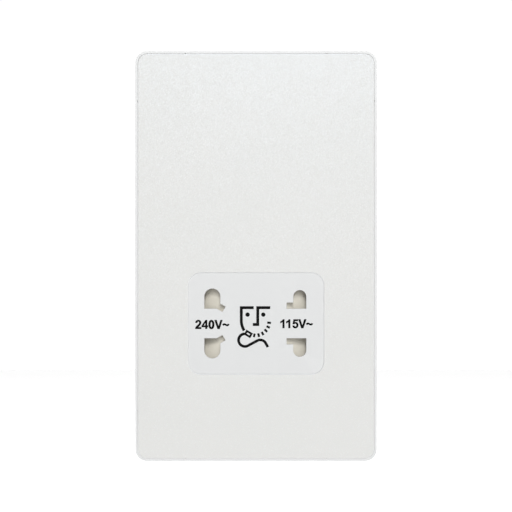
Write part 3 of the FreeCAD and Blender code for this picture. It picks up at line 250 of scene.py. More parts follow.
def pearl_flake():
    """Flakes in pearl paint: each cell has its own tone, tint and tilt."""
    group, start, end = new_group(
        "pearl flake",
        [("Flake Scale", "Float", 2200.0), ("Tilt", "Float", 0.05), ("Tint", "Float", 0.03)],
        [("Tone", "Float"), ("Flake Colour", "Color"), ("Gloss", "Float"), ("Normal", "Vector")])
    place = object_place(group)
    cells = add(group, "TexVoronoi", feature="F1", Randomness=1.0)
    finer = add(group, "TexVoronoi", feature="F1", Randomness=1.0)
    group.links.new(place, cells.inputs["Vector"])
    group.links.new(place, finer.inputs["Vector"])
    group.links.new(start.outputs["Flake Scale"], cells.inputs["Scale"])
    finer_scale = maths(group, "MULTIPLY", start.outputs["Flake Scale"], FINER_FLAKES)
    group.links.new(finer_scale, finer.inputs["Scale"])
    split = add(group, "SeparateColor")
    split_finer = add(group, "SeparateColor")
    group.links.new(cells.outputs["Color"], split.inputs["Color"])
    group.links.new(finer.outputs["Color"], split_finer.inputs["Color"])
    tone = maths(group, "MULTIPLY", split.outputs["Red"], split_finer.outputs["Green"])
    group.links.new(tone, end.inputs["Tone"])
    group.links.new(split.outputs["Blue"], end.inputs["Gloss"])
    tinted = blend_colours(group, start.outputs["Tint"], (1.0, 1.0, 1.0, 1.0), finer.outputs["Color"])
    group.links.new(tinted, end.inputs["Flake Colour"])
    lean = vector_maths(group, "SUBTRACT", cells.outputs["Color"], (0.5, 0.5, 0.5))
    lean = vector_maths(group, "SCALE", lean, start.outputs["Tilt"])
    lean = vector_maths(group, "ADD", lean, add(group, "NewGeometry").outputs["Normal"])
    group.links.new(vector_maths(group, "NORMALIZE", lean), end.inputs["Normal"])
    return group


def worn_edges():
    """Mask of the outer edges, broken up by noise."""
    group, start, end = new_group(
        "worn edges", [("Spread", "Float", 0.52), ("Break Scale", "Float", 700.0)], [("Mask", "Float")])
    point = add(group, "NewGeometry").outputs["Pointiness"]
    edge = maths(group, "SUBTRACT", point, start.outputs["Spread"])
    edge = maths(group, "MULTIPLY", edge, EDGE_STEEPNESS, clamp=True)
    noise = add(group, "TexNoise", Detail=3.0)
    group.links.new(object_place(group), noise.inputs["Vector"])
    group.links.new(start.outputs["Break Scale"], noise.inputs["Scale"])
    group.links.new(maths(group, "MULTIPLY", edge, noise.outputs["Fac"], clamp=True), end.inputs["Mask"])
    return group


def turned_edges():
    """Share of a face's turn away from the front, full where it has turned by about thirty degrees."""
    group, start, end = new_group(
        "turned edges", [("Steepness", "Float", 8.0)], [("Share", "Float")])
    normal = add(group, "NewGeometry").outputs["Normal"]
    turn = maths(group, "ADD", split_axes(group, normal)["Y"], FLAT_COSINE)
    share = maths(group, "MULTIPLY", turn, start.outputs["Steepness"], clamp=True)
    group.links.new(share, end.inputs["Share"])
    return group


def fine_bands():
    """Close parallel bands across one direction: wound wire, stacked sheets or a rolled surface."""
    group, start, end = new_group(
        "fine bands",
        [("Direction", "Vector", (0.0, 0.0, 1.0)), ("Pitch", "Float", 0.5 * MM), ("Wander", "Float", 0.0)],
        [("Ridge", "Float"), ("Band Tone", "Float")])
    place = object_place(group)
    along = add(group, "VectorMath", operation="DOT_PRODUCT")
    group.links.new(place, along.inputs[0])
    group.links.new(start.outputs["Direction"], along.inputs[1])
    waver = add(group, "TexNoise", Scale=WAVER_SCALE, Detail=1.0)
    group.links.new(place, waver.inputs["Vector"])
    wander = maths(group, "MULTIPLY", maths(group, "SUBTRACT", waver.outputs["Fac"], 0.5),
                   start.outputs["Wander"])
    turns = maths(group, "DIVIDE", along.outputs["Value"], start.outputs["Pitch"])
    turns = maths(group, "ADD", turns, wander)
    wave = maths(group, "SINE", maths(group, "MULTIPLY", turns, 2 * math.pi))
    group.links.new(maths(group, "MULTIPLY", maths(group, "ADD", wave, 1.0), 0.5), end.inputs["Ridge"])
    step = add(group, "TexWhiteNoise", noise_dimensions="1D")
    group.links.new(maths(group, "FLOOR", turns), step.inputs["W"])
    group.links.new(step.outputs["Value"], end.inputs["Band Tone"])
    return group


def brushed_metal():
    """Drawn-out scratches along X, for rolled and brushed metal."""
    group, start, end = new_group(
        "brushed metal", [("Scratch Scale", "Float", 500.0)], [("Scratch", "Float")])
    stretch = add(group, "Mapping", vector_type="POINT", Scale=SCRATCH_STRETCH)
    group.links.new(object_place(group), stretch.inputs["Vector"])
    noise = add(group, "TexNoise", Detail=4.0, Roughness=0.7)
    group.links.new(stretch.outputs["Vector"], noise.inputs["Vector"])
    group.links.new(start.outputs["Scratch Scale"], noise.inputs["Scale"])
    group.links.new(noise.outputs["Fac"], end.inputs["Scratch"])
    return group


SKIN = moulded_skin()
FLAKE = pearl_flake()
EDGES = worn_edges()
TURNED = turned_edges()
BANDS = fine_bands()
BRUSHED = brushed_metal()


def use(tree, group, **values):
    """Outputs of a shared effect placed in a material; values are named after its inputs."""
    node = tree.nodes.new("ShaderNodeGroup")
    node.node_tree = group
    for name, value in values.items():
        node.inputs[name.replace("_", " ")].default_value = value
    return node.outputs


def new_material(name, roughness, **shader_values):
    """Material, its node tree and its shader; further values are named after the shader's inputs."""
    material = bpy.data.materials.new(name)
    material.use_nodes = True
    tree = material.node_tree
    shader = tree.nodes["Principled BSDF"]
    shader.inputs["Roughness"].default_value = roughness
    for label, value in shader_values.items():
        shader.inputs[label.replace("_", " ")].default_value = value
    return material, tree, shader


def raise_surface(tree, shader, height, depth, strength):
    """Bump of a given real depth in metres."""
    bump = add(tree, "Bump", Strength=strength, Distance=depth)
    tree.links.new(height, bump.inputs["Height"])
    tree.links.new(bump.outputs["Normal"], shader.inputs["Normal"])


def spread_roughness(tree, shader, mask, low, high):
    """Roughness that follows a mask from low to high."""
    ramp = add(tree, "MapRange")
    ramp.inputs["To Min"].default_value = low
    ramp.inputs["To Max"].default_value = high
    tree.links.new(mask, ramp.inputs["Value"])
    tree.links.new(ramp.outputs["Result"], shader.inputs["Roughness"])


# Finishes

PEARL_SHEEN = (0.62, 0.78, 1.0, 1.0)
# Painted glints on the pearl flakes
PAINTED_GLINT_SHARPNESS = 3.0
PAINTED_GLINT_SHARE = 0.3
WORN_GAIN = 1.06
WORN_SHARE = 0.5
RIDGE_SHARE = 0.6
SLEEVE_SHADE = 0.8

# How far the roughness of a finish runs below and above its own value
MOULDING_GLOSS = (0.06, 0.08)
METAL_GLOSS = (0.08, 0.12)
BAND_GLOSS = (0.05, 0.1)


def share_below(tree, value, limit, width):
    """0 where a value is above a limit, rising to 1 where it is a width or more below it."""
    return maths(tree, "MULTIPLY", maths(tree, "SUBTRACT", value, limit), -1 / width, clamp=True)


def window_left_wall(tree, turned):
    """Mask of the walls on the left that face right, of which only the window's is seen; it places a painted
    glow that lifts the shade in the gap beside the insert.
    """
    left = share_below(tree, split_axes(tree, object_place(tree))["X"], 0.0, 1 * MM)
    normal = add(tree, "NewGeometry").outputs["Normal"]
    facing = maths(tree, "MULTIPLY", split_axes(tree, normal)["X"], left, clamp=True)
    return maths(tree, "MULTIPLY", facing, turned)


def pearl_paint():
    """Pale paint full of fine flakes with painted glints, whiter where the surface turns away from the front
    as painted light that lifts the shade on its rounded edge, and with a painted glow in the window's gap.
    """
    material, tree, shader = new_material("pearl_paint", 0.38, Specular_Tint=PEARL_SHEEN,
                                          Specular_IOR_Level=0.95, Coat_Weight=0.1, Coat_Roughness=0.22,
                                          Emission_Strength=PAINTED_GAP_LIGHT)
    flake = use(tree, FLAKE, Flake_Scale=2600.0, Tilt=0.076, Tint=0.02)
    skin = use(tree, SKIN, Grain_Scale=5200.0, Mottle_Scale=40.0)
    body = blend_colours(tree, skin["Mottle"], linear(225, 224, 219), linear(228, 226, 221))
    body = blend_colours(tree, 1.0, body, flake["Flake Colour"], "MULTIPLY")
    # Painted glints: some flakes are lifted towards white in the base colour, standing in for their sparkle
    painted_glint = maths(tree, "POWER", flake["Tone"], PAINTED_GLINT_SHARPNESS)
    bright = maths(tree, "MULTIPLY", painted_glint, PAINTED_GLINT_SHARE)
    painted = blend_colours(tree, bright, body, linear(255, 255, 255))
    # Painted light: faces turned away from the front are whitened, lifting the shade on the rounded edge
    turned = use(tree, TURNED)["Share"]
    colour = blend_colours(tree, turned, painted, linear(252, 252, 252))
    tree.links.new(colour, shader.inputs["Base Color"])
    # Painted light: a glow on the window's left wall that lifts the shade in the gap beside the insert
    glow = blend_colours(tree, window_left_wall(tree, turned), NO_GLOW, WINDOW_PAINTED_GLOW)
    tree.links.new(glow, shader.inputs["Emission Color"])
    spread_roughness(tree, shader, flake["Gloss"], 0.28, 0.40)
    tree.links.new(flake["Normal"], shader.inputs["Normal"])
    return material


def groove_wall(tree, turned):
    """Masks of the rim's wall beside the groove, and of the painted glow on it, strongest where the wall
    faces up.
    """
    place = object_place(tree)
    normal = add(tree, "NewGeometry").outputs["Normal"]
    flat = vector_maths(tree, "MULTIPLY", normal, (1.0, 0.0, 1.0))
    outward = add(tree, "VectorMath", operation="DOT_PRODUCT")
    tree.links.new(flat, outward.inputs[0])
    tree.links.new(place, outward.inputs[1])
    front = share_below(tree, split_axes(tree, place)["Y"], RIM_WALL_Y, 1 * MM)
    inward = share_below(tree, outward.outputs["Value"], 0.0, 5 * MM)
    wall = maths(tree, "MULTIPLY", maths(tree, "MULTIPLY", inward, front), turned)
    # Painted light: the glow is strongest on walls that face up, as if lit from above
    upward = maths(tree, "MULTIPLY", maths(tree, "ADD", split_axes(tree, normal)["Z"], 1.0), 0.5)
    return wall, maths(tree, "MULTIPLY", wall, upward)


def rim_white():
    """White moulding, with painted light on the wall beside the groove: a paler colour and a painted glow
    that lift the shade there.
    """
    material, tree, shader = new_material("frame_white", 0.4, Emission_Strength=PAINTED_GAP_LIGHT)
    skin = use(tree, SKIN, Grain_Scale=3600.0, Mottle_Scale=55.0)
    face = blend_colours(tree, skin["Mottle"], linear(225, 226, 226), linear(228, 229, 229))
    wall, lit = groove_wall(tree, use(tree, TURNED)["Share"])
    # Painted light: the wall beside the groove is paler, lifting its shade
    colour = blend_colours(tree, wall, face, linear(252, 251, 249))
    glow = blend_colours(tree, lit, NO_GLOW, RIM_PAINTED_GLOW)
    tree.links.new(glow, shader.inputs["Emission Color"])
    tree.links.new(colour, shader.inputs["Base Color"])
    spread_roughness(tree, shader, skin["Grain"], 0.34, 0.48)
    raise_surface(tree, shader, skin["Grain"], 0.01 * MM, 0.5)
    return material


def moulded_plastic(name, dark, pale, roughness, grain_depth):
    """Opaque moulding: two close tones mottled together, a satin grain and paler worn edges."""
    material, tree, shader = new_material(name, roughness)
    skin = use(tree, SKIN, Grain_Scale=3600.0, Mottle_Scale=55.0)
    edge = use(tree, EDGES, Spread=0.52, Break_Scale=900.0)
    body = blend_colours(tree, skin["Mottle"], linear(*dark), linear(*pale))
    worn = tuple(min(1.0, channel * WORN_GAIN) for channel in linear(*pale)[:3]) + (1.0,)
    edge_share = maths(tree, "MULTIPLY", edge["Mask"], WORN_SHARE)
    tree.links.new(blend_colours(tree, edge_share, body, worn), shader.inputs["Base Color"])
    below, above = MOULDING_GLOSS
    spread_roughness(tree, shader, skin["Grain"], roughness - below, roughness + above)
    raise_surface(tree, shader, skin["Grain"], grain_depth, 0.5)
    return material


def bare_metal(name, dark, pale, roughness, scratch_scale):
    """Rolled metal: two tones mottled together, under scratches that also change its gloss."""
    material, tree, shader = new_material(name, roughness, Metallic=1.0)
    scratch = use(tree, BRUSHED, Scratch_Scale=scratch_scale)
    skin = use(tree, SKIN, Grain_Scale=2500.0, Mottle_Scale=120.0)
    body = blend_colours(tree, skin["Mottle"], linear(*dark), linear(*pale))
    scratched = blend_colours(tree, scratch["Scratch"], linear(*dark), body)
    tree.links.new(scratched, shader.inputs["Base Color"])
    below, above = METAL_GLOSS
    spread_roughness(tree, shader, scratch["Scratch"], roughness - below, roughness + above)
    raise_surface(tree, shader, scratch["Scratch"], 0.02 * MM, 0.4)
    return material


def banded(name, dark, pale, roughness, metallic, direction, pitch, wander, depth):
    """Surface made of close bands, such as windings and laminations."""
    material, tree, shader = new_material(name, roughness, Metallic=metallic)
    bands = use(tree, BANDS, Direction=direction, Pitch=pitch, Wander=wander)
    tone = maths(tree, "ADD", maths(tree, "MULTIPLY", bands["Ridge"], RIDGE_SHARE),
                 maths(tree, "MULTIPLY", bands["Band Tone"], 1 - RIDGE_SHARE))
    colour = blend_colours(tree, tone, linear(*dark), linear(*pale))
    tree.links.new(colour, shader.inputs["Base Color"])
    below, above = BAND_GLOSS
    spread_roughness(tree, shader, bands["Band Tone"], roughness - below, roughness + above)
    raise_surface(tree, shader, bands["Ridge"], depth, 1.0)
    return material


def lead_sleeve(name, levels):
    """Drawn plastic insulation on a wire."""
    material, tree, shader = new_material(name, 0.42)
    skin = use(tree, SKIN, Grain_Scale=2500.0, Mottle_Scale=200.0)
    bright = linear(*levels)
    shade = tuple(channel * SLEEVE_SHADE for channel in bright[:3]) + (1.0,)
    colour = blend_colours(tree, skin["Mottle"], shade, bright)
    tree.links.new(colour, shader.inputs["Base Color"])
    spread_roughness(tree, shader, skin["Grain"], 0.34, 0.5)
    raise_surface(tree, shader, skin["Grain"], 0.01 * MM, 0.4)
    return material


def printed_ink():
    """Matt black print, a little uneven."""
    material, tree, shader = new_material("printed_ink", 0.6, Specular_IOR_Level=0.08)
    skin = use(tree, SKIN, Grain_Scale=4000.0, Mottle_Scale=300.0)
    colour = blend_colours(tree, skin["Mottle"], linear(2, 2, 2), linear(8, 8, 8))
    tree.links.new(colour, shader.inputs["Base Color"])
    spread_roughness(tree, shader, skin["Grain"], 0.55, 0.7)
    raise_surface(tree, shader, skin["Grain"], 0.006 * MM, 0.5)
    return material


# Two tones as display levels, roughness, and depth of the grain
MOULDINGS = {
    "fascia_white": ((221, 222, 222), (224, 225, 225), 0.46, 0.006 * MM),
    "shutter_cream": ((221, 216, 203), (227, 222, 209), 0.45, 0.015 * MM),
    "moulding_cream": ((214, 209, 194), (222, 217, 203), 0.5, 0.02 * MM),
    "bobbin_black": ((30, 31, 33), (40, 41, 43), 0.45, 0.02 * MM),
    "cutout_case": ((188, 184, 172), (200, 196, 184), 0.4, 0.01 * MM),
    "housing_white": ((226, 227, 226), (233, 234, 233), 0.46, 0.025 * MM),
    "terminal_moulding": ((216, 216, 212), (226, 226, 222), 0.42, 0.02 * MM),
}

# Two tones as display levels, roughness, and scale of the scratches
METALS = {
    "spring_steel": ((120, 122, 124), (176, 178, 180), 0.3, 900.0),
    "contact_bronze": ((168, 118, 66), (206, 156, 98), 0.32, 500.0),
    "plated_steel": ((150, 152, 150), (206, 207, 203), 0.28, 700.0),
    "terminal_brass": ((176, 142, 74), (222, 190, 116), 0.3, 800.0),
}

# Two tones as display levels, roughness, share of metal, direction and pitch of the bands, how far they
# wander, and depth of the ridges
BANDED = {
    "core_steel": ((74, 76, 80), (132, 134, 138), 0.42, 0.85, (0.0, 1.0, 0.0), 0.5 * MM, 0.0, 0.05 * MM),
    "winding_copper": ((118, 58, 26), (190, 106, 58), 0.3, 0.6, (0.0, 0.0, 1.0), 0.28 * MM, 0.5, 0.06 * MM),
}

# Display levels
SLEEVES = {
    "lead_brown": (104, 62, 40),
    "lead_blue": (40, 92, 164),
    "lead_black": (34, 34, 36),
    "lead_red": (176, 40, 36),
    "lead_yellow": (214, 182, 44),
}


def finishes():
    """Material for each of the record's slots."""
    by_slot = {"cover_pearl": pearl_paint(), "frame_white": rim_white()}
    for make, table in ((moulded_plastic, MOULDINGS), (bare_metal, METALS), (banded, BANDED)):
        for slot, values in table.items():
            by_slot[slot] = make(slot, *values)
    for slot, levels in SLEEVES.items():
        by_slot[slot] = lead_sleeve(slot, levels)
    return by_slot


def dress_frame(by_slot):
    """Gives each CAD node the finish of its slot in the record."""
    for row in frame["record"]["subparts"]:
        piece = frame["nodes"][row["node"]]
        for place in piece.material_slots:
            place.material = by_slot[row["material_slot"]]


# Return springs

def coil_line(length, radius):
    """Middle line of the wire along X: open turns, with a closed turn at each end."""
    closed = 2 * WIRE_R
    pitch = (length - 2 * WIRE_R - 2 * closed) / SPRING_TURNS
    line = []
    for step in range((SPRING_TURNS + 2) * SPRING_STEPS + 1):
        turns = step / SPRING_STEPS
        opened = min(max(turns - 1, 0), SPRING_TURNS)
        x = WIRE_R + opened * pitch + (turns - opened) * closed
        turn = 2 * math.pi * turns
        line.append(Vector((x, radius * math.cos(turn), radius * math.sin(turn))))
    return line


def return_spring(node, finish):
    """Coil between the chamber's end wall and the shutter."""
    low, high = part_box(node)
    line = coil_line(high.x - low.x, (high.z - low.z) / 2 - WIRE_R)
    middle = (low + high) / 2
    start = Vector((low.x, middle.y, middle.z))
    turns = [2 * math.pi * corner / WIRE_SIDES for corner in range(WIRE_SIDES)]
    build = bmesh.new()
    rings = []
    for index, point in enumerate(line):
        along = (line[min(index + 1, len(line) - 1)] - line[max(index - 1, 0)]).normalized()
        out = Vector((0.0, point.y, point.z)).normalized()
        across = along.cross(out)
        spokes = [out * math.cos(turn) + across * math.sin(turn) for turn in turns]
        rings.append([build.verts.new(start + point + spoke * WIRE_R) for spoke in spokes])
    for ring_a, ring_b in zip(rings, rings[1:]):
        for corner in range(WIRE_SIDES):
            after = (corner + 1) % WIRE_SIDES
            build.faces.new((ring_a[corner], ring_a[after], ring_b[after], ring_b[corner]))
    build.faces.new(rings[0][::-1])
    build.faces.new(rings[-1])
    bmesh.ops.recalc_face_normals(build, faces=build.faces)
    for face in build.faces:
        face.smooth = len(face.verts) == 4
    mesh = bpy.data.meshes.new("coil_" + node)
    build.to_mesh(mesh)
    build.free()
    mesh.materials.append(finish)
    spring = bpy.data.objects.new("coil_" + node, mesh)
    bpy.context.scene.collection.objects.link(spring)
    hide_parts(node)
    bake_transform(spring)


# Print: flat outlines in X and Z, built as thin solids on the insert

def rounded_outline(points):
    """Outline from corners and pull points; a pull point, marked False, bends the run past it."""
    out = []
    count = len(points)
    for index, (x, z, corner) in enumerate(points):
        if corner:
            out.append((x, z))
            continue
        before = points[index - 1]
        after = points[(index + 1) % count]
        start = before[:2] if before[2] else ((before[0] + x) / 2, (before[1] + z) / 2)
        end = after[:2] if after[2] else ((after[0] + x) / 2, (after[1] + z) / 2)
        last = CURVE_STEPS if not after[2] else CURVE_STEPS - 1
        for step in range(1, last + 1):
            t = step / CURVE_STEPS
            a, b, c = (1 - t) ** 2, 2 * t * (1 - t), t * t
            out.append((a * start[0] + b * x + c * end[0], a * start[1] + b * z + c * end[1]))
    return out


def arc(x, z, radius, start, end, steps):
    """Points round a centre, between two angles in degrees."""
    turns = [math.radians(start + (end - start) * step / steps) for step in range(steps + 1)]
    return [(x + radius * math.cos(turn), z + radius * math.sin(turn)) for turn in turns]


def ring(x, z, half_x, half_z, power):
    """Closed loop between an ellipse (power 2) and a rectangle (higher powers)."""
    out = []
    for step in range(RING_STEPS):
        turn = 2 * math.pi * step / RING_STEPS
        cos, sin = math.cos(turn), math.sin(turn)
        out.append((x + half_x * math.copysign(abs(cos) ** (2 / power), cos),
                    z + half_z * math.copysign(abs(sin) ** (2 / power), sin)))
    return out


def stroke(points, width):
    """Outline of a line of one width with square ends and sharp outer corners."""
    line = [Vector(point) for point in points]
    left, right = [], []
    for index, point in enumerate(line):
        before = line[index] - line[index - 1] if index else line[1] - line[0]
        after = line[index + 1] - line[index] if index < len(line) - 1 else before
        before.normalize()
        after.normalize()
        lean = (before + after).normalized()
        across = Vector((-lean.y, lean.x))
        reach = width / 2 / max(STROKE_MITRE, across.dot(Vector((-before.y, before.x))))
        left.append(tuple(point + across * reach))
        right.append(tuple(point - across * reach))
    return left + right[::-1]


def turned_box(x, z, length, width, angle):
    """Corners of a box round a centre, turned by an angle in degrees."""
    turn = math.radians(angle)
    along = Vector((math.cos(turn), math.sin(turn))) * length / 2
    across = Vector((-math.sin(turn), math.cos(turn))) * width / 2
    centre = Vector((x, z))
    return [tuple(centre + along * a + across * b) for a, b in ((-1, -1), (1, -1), (1, 1), (-1, 1))]


def grown(loop, amount):
    """Loop moved outward by an amount, or inward where the amount is negative."""
    points = [Vector(point) for point in loop]
    turn = sum(a.x * b.y - b.x * a.y for a, b in zip(points, points[1:] + points[:1]))
    out = []
    for index, point in enumerate(points):
        before = (point - points[index - 1]).normalized()
        after = (points[(index + 1) % len(points)] - point).normalized()
        lean = (before + after).normalized()
        outward = Vector((lean.y, -lean.x)) * math.copysign(1.0, turn)
        square = Vector((before.y, -before.x)) * math.copysign(1.0, turn)
        out.append(tuple(point + outward * amount / max(OUTLINE_MITRE, outward.dot(square))))
    return out


def ink(name, loops):
    """Printed shape: loops in millimetres from the insert's centre, with inner loops as holes."""
    shape = bpy.data.curves.new(name + "_shape", "CURVE")
    shape.dimensions = "2D"
    shape.fill_mode = "BOTH"
    shape.extrude = (INK_THICKNESS + INK_OVERLAP) / 2
    for loop in loops:
        spline = shape.splines.new("POLY")
        spline.points.add(len(loop) - 1)
        for point, (x, z) in zip(spline.points, loop):
            point.co = (x * MM, z * MM, 0.0, 1.0)
        spline.use_cyclic_u = True
    holder = bpy.data.objects.new(name + "_holder", shape)
    mesh = bpy.data.meshes.new_from_object(holder)
    bpy.data.objects.remove(holder)
    mesh.name = name
    y = INSERT_FACE_Y - (INK_THICKNESS - INK_OVERLAP) / 2
    for vertex in mesh.vertices:
        x, z, depth = vertex.co
        vertex.co = (x, y - depth, INSERT_Z + z)
    build = bmesh.new()
    build.from_mesh(mesh)
    bmesh.ops.remove_doubles(build, verts=build.verts, dist=INK_WELD)
    bmesh.ops.recalc_face_normals(build, faces=build.faces)
    build.to_mesh(mesh)
    build.free()
    mesh.materials.clear()
    mesh.materials.append(INK)
    piece = bpy.data.objects.new(name, mesh)
    bpy.context.scene.collection.objects.link(piece)
    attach(piece, "socket")


TWO = rounded_outline([
    (0.685, 0.178, True), (0.685, 0.0, True), (0.0, 0.0, True), (0.012, 0.115, False), (0.075, 0.205, True),
    (0.135, 0.300, False), (0.285, 0.425, True), (0.400, 0.530, False), (0.430, 0.575, True),
    (0.475, 0.640, False), (0.475, 0.700, True), (0.475, 0.770, False), (0.442, 0.810, True),
    (0.405, 0.850, False), (0.350, 0.850, True), (0.290, 0.850, False), (0.253, 0.810, True),
    (0.216, 0.772, False), (0.210, 0.690, True), (0.020, 0.710, True), (0.035, 0.868, False),
    (0.130, 0.940, True), (0.220, 1.010, False), (0.355, 1.010, True), (0.500, 1.010, False),
    (0.588, 0.928, True), (0.670, 0.845, False), (0.670, 0.715, True), (0.670, 0.630, False),
    (0.640, 0.560, True), (0.610, 0.485, False), (0.545, 0.405, True), (0.500, 0.350, False),
    (0.405, 0.262, True), (0.318, 0.182, False), (0.300, 0.178, True)])
FOUR = [(0.425, 0.0), (0.610, 0.0), (0.610, 0.200), (0.718, 0.200), (0.718, 0.362), (0.610, 0.362),
        (0.610, 1.0), (0.448, 1.0), (0.0, 0.362), (0.0, 0.200), (0.425, 0.200)]
FOUR_EYE = [(0.425, 0.362), (0.425, 0.715), (0.182, 0.362)]
NOUGHT = ring(0.325, 0.49, 0.325, 0.515, 2.25)
NOUGHT_EYE = ring(0.325, 0.49, 0.118, 0.325, 2.25)
ONE = [(0.255, 0.0), (0.445, 0.0), (0.445, 1.0), (0.290, 1.0), (0.262, 0.935), (0.200, 0.862),
       (0.110, 0.795), (0.0, 0.748), (0.0, 0.580), (0.135, 0.640), (0.255, 0.725)]
FIVE = rounded_outline([
    (0.0, 0.262, True), (0.185, 0.283, True), (0.193, 0.218, False), (0.237, 0.180, True),
    (0.278, 0.142, False), (0.330, 0.142, True), (0.392, 0.142, False), (0.433, 0.192, True),
    (0.472, 0.243, False), (0.472, 0.340, True), (0.472, 0.432, False), (0.432, 0.480, True),
    (0.392, 0.528, False), (0.325, 0.528, True), (0.243, 0.528, False), (0.175, 0.455, True),
    (0.025, 0.477, True), (0.118, 0.990, True), (0.612, 0.990, True), (0.612, 0.815, True),
    (0.262, 0.815, True), (0.232, 0.650, True), (0.293, 0.682, False), (0.358, 0.682, True),
    (0.485, 0.682, False), (0.572, 0.590, True), (0.660, 0.500, False), (0.660, 0.350, True),
    (0.660, 0.225, False), (0.588, 0.128, True), (0.492, -0.015, False), (0.330, -0.015, True),
    (0.190, -0.015, False), (0.103, 0.060, True), (0.015, 0.135, False)])
VOLT = [(0.343, -0.01), (0.567, -0.01), (0.905, 1.0), (0.687, 1.0), (0.457, 0.282), (0.222, 1.0), (0.0, 1.0)]
WAVE_LINE = [(0.035, 0.420), (0.08, 0.480), (0.145, 0.522), (0.22, 0.525), (0.30, 0.495), (0.385, 0.447),
             (0.46, 0.408), (0.535, 0.398), (0.605, 0.430), (0.66, 0.485), (0.69, 0.530)]
WAVE = stroke(WAVE_LINE, 0.16)


def set_line(name, glyphs, baseline):
    """Row of glyphs: each is its left edge in millimetres, and its outline and eye in cap heights."""
    height = CAP_HEIGHT / MM
    loops = []
    for left, outlines in glyphs:
        for outline, spread in zip(outlines, (GLYPH_SPREAD, -GLYPH_SPREAD)):
            loop = [(left + x * height, baseline / MM + z * height) for x, z in outline]
            loops.append(grown(loop, spread / MM))
    ink(name, loops)


def print_voltages():
    """Voltage beside each outlet."""
    set_line("print_240", [(-21.67, [TWO]), (-19.35, [FOUR, FOUR_EYE]), (-16.92, [NOUGHT, NOUGHT_EYE]),
                           (-14.78, [VOLT]), (-11.88, [WAVE])], BASELINE)
    set_line("print_115", [(8.70, [ONE]), (10.78, [ONE]), (13.02, [FIVE]), (15.10, [VOLT]), (17.93, [WAVE])],
             BASELINE_RIGHT)


def print_symbol():
    """Standard sign for a shaver outlet: a face, a razor with its flex, and stubble."""
    brow = [(-0.84, BROW_Z), (-5.261, BROW_Z)]
    jaw = [(-5.261, 1.0), (-5.215, 0.32), (-5.10, -0.42), (-4.88, -1.18), (-4.58, -1.90), (-4.24, -2.52)]
    nose = [(5.05, BROW_Z), (0.604, BROW_Z), (0.604, -0.36), (-1.16, -0.36)]
    ink("symbol_face_left", [stroke(brow + jaw, SIGN_LINE)])
    ink("symbol_face_right", [stroke(nose, SIGN_LINE)])
    ink("symbol_eyes", [ring(x, EYE_Z, EYE_R, EYE_R, 2.0) for x in (-3.017, 2.581)])
    ink("symbol_razor", [turned_box(*RAZOR_PLACE, length, width, RAZOR_LEAN)
                         for length, width in ((2.68, 2.0), (1.2, 0.50))])
    flex = (arc(-3.986, -5.93, 2.257, 93.0, 298.15, 40) + arc(1.497, -8.06, 2.206, 118.15, 29.25, 20)
            + [(4.21, -8.42)])
    ink("symbol_flex", [stroke(flex, FLEX_WIDTH)])
    ticks = [(-0.633, -4.260, 77.0), (0.923, -4.170, 105.0), (2.326, -3.597, 119.5), (3.499, -2.577, 138.5),
             (4.327, -1.276, 154.0), (4.646, 0.229, 174.0)]
    ink("symbol_stubble", [turned_box(x, z + STUBBLE_LIFT, STUBBLE_LENGTH, STUBBLE_WIDTH, angle)
                           for x, z, angle in ticks])


# Lamps, world, floor and camera

def hang_lamp(name, place, size, power):
    """Square lamp that points at the middle of the object."""
    lamp = bpy.data.lights.new(name, "AREA")
    lamp.shape = "SQUARE"
    lamp.size = size
    lamp.energy = power
    holder = bpy.data.objects.new(name, lamp)
    holder.location = place
    holder.rotation_euler = (-Vector(place)).to_track_quat("-Z", "Y").to_euler()
    bpy.context.scene.collection.objects.link(holder)


def seen_share(tree):
    """1 for camera, glossy and transmission rays, and 0 for the rays that light the object."""
    path = add(tree, "LightPath")
    seen = maths(tree, "MAXIMUM", path.outputs["Is Camera Ray"], path.outputs["Is Glossy Ray"])
    return maths(tree, "MAXIMUM", seen, path.outputs["Is Transmission Ray"])


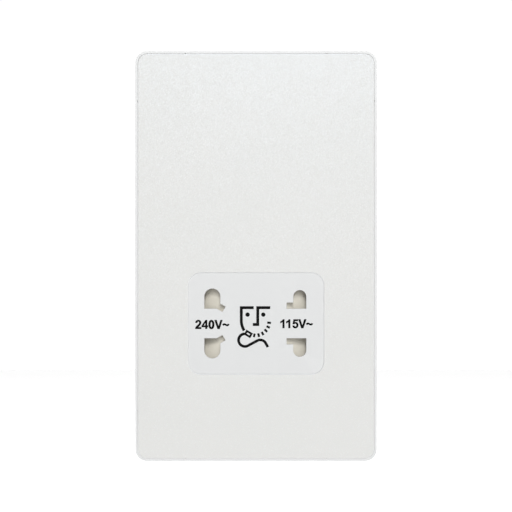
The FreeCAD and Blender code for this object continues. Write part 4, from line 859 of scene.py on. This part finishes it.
def set_world():
    """White studio, which lights the object less than the camera sees of it."""
    world = bpy.data.worlds.new("studio")
    world.use_nodes = True
    tree = world.node_tree
    background = tree.nodes["Background"]
    background.inputs["Color"].default_value = (1.0, 1.0, 1.0, 1.0)
    strength = maths(tree, "MULTIPLY", seen_share(tree), SKY_SEEN - SKY_DIFFUSE)
    strength = maths(tree, "ADD", strength, SKY_DIFFUSE)
    tree.links.new(strength, background.inputs["Strength"])
    bpy.context.scene.world = world


def lay_floor():
    """Pale floor below the object, lifted to white for the camera."""
    floor_z = cad_box[0].z - FLOOR_DROP
    bpy.ops.mesh.primitive_plane_add(size=FLOOR_SIZE, location=(0.0, 0.0, floor_z))
    floor = bpy.context.object
    floor.name = "floor"
    material, tree, shader = new_material("floor_white", 0.6)
    shader.inputs["Base Color"].default_value = linear(FLOOR_LEVEL, FLOOR_LEVEL, FLOOR_LEVEL)
    shader.inputs["Emission Color"].default_value = (1.0, 1.0, 1.0, 1.0)
    lift = maths(tree, "MULTIPLY", seen_share(tree), FLOOR_LIFT)
    tree.links.new(lift, shader.inputs["Emission Strength"])
    floor.data.materials.append(material)


def set_camera():
    """Camera straight in front of the object."""
    data = bpy.data.cameras.new("front_view")
    data.sensor_width = SENSOR
    data.lens = SENSOR * VIEW_DISTANCE / VIEW_WIDTH
    camera = bpy.data.objects.new("front_view", data)
    camera.location = (VIEW_X, cad_box[0].y - VIEW_DISTANCE, VIEW_Z)
    camera.rotation_euler = (math.pi / 2, 0.0, 0.0)
    bpy.context.scene.collection.objects.link(camera)
    bpy.context.scene.camera = camera


# Object and stage

INK = printed_ink()
set_camera()
set_world()
hang_lamp("key", KEY_PLACE, KEY_SIZE, KEY_POWER)
hang_lamp("sheen", SHEEN_PLACE, SHEEN_SIZE, SHEEN_POWER)
for side in (-1, 1):
    back_place = (side * BACK_PLACE[0], BACK_PLACE[1], BACK_PLACE[2])
    hang_lamp(f"back_{side}", back_place, BACK_SIZE, BACK_POWER)
lay_floor()
FINISHES = finishes()
dress_frame(FINISHES)
return_spring("spring_left", FINISHES["spring_steel"])
return_spring("spring_right", FINISHES["spring_steel"])
print_voltages()
print_symbol()

bpy.context.scene.view_settings.view_transform = "Standard"
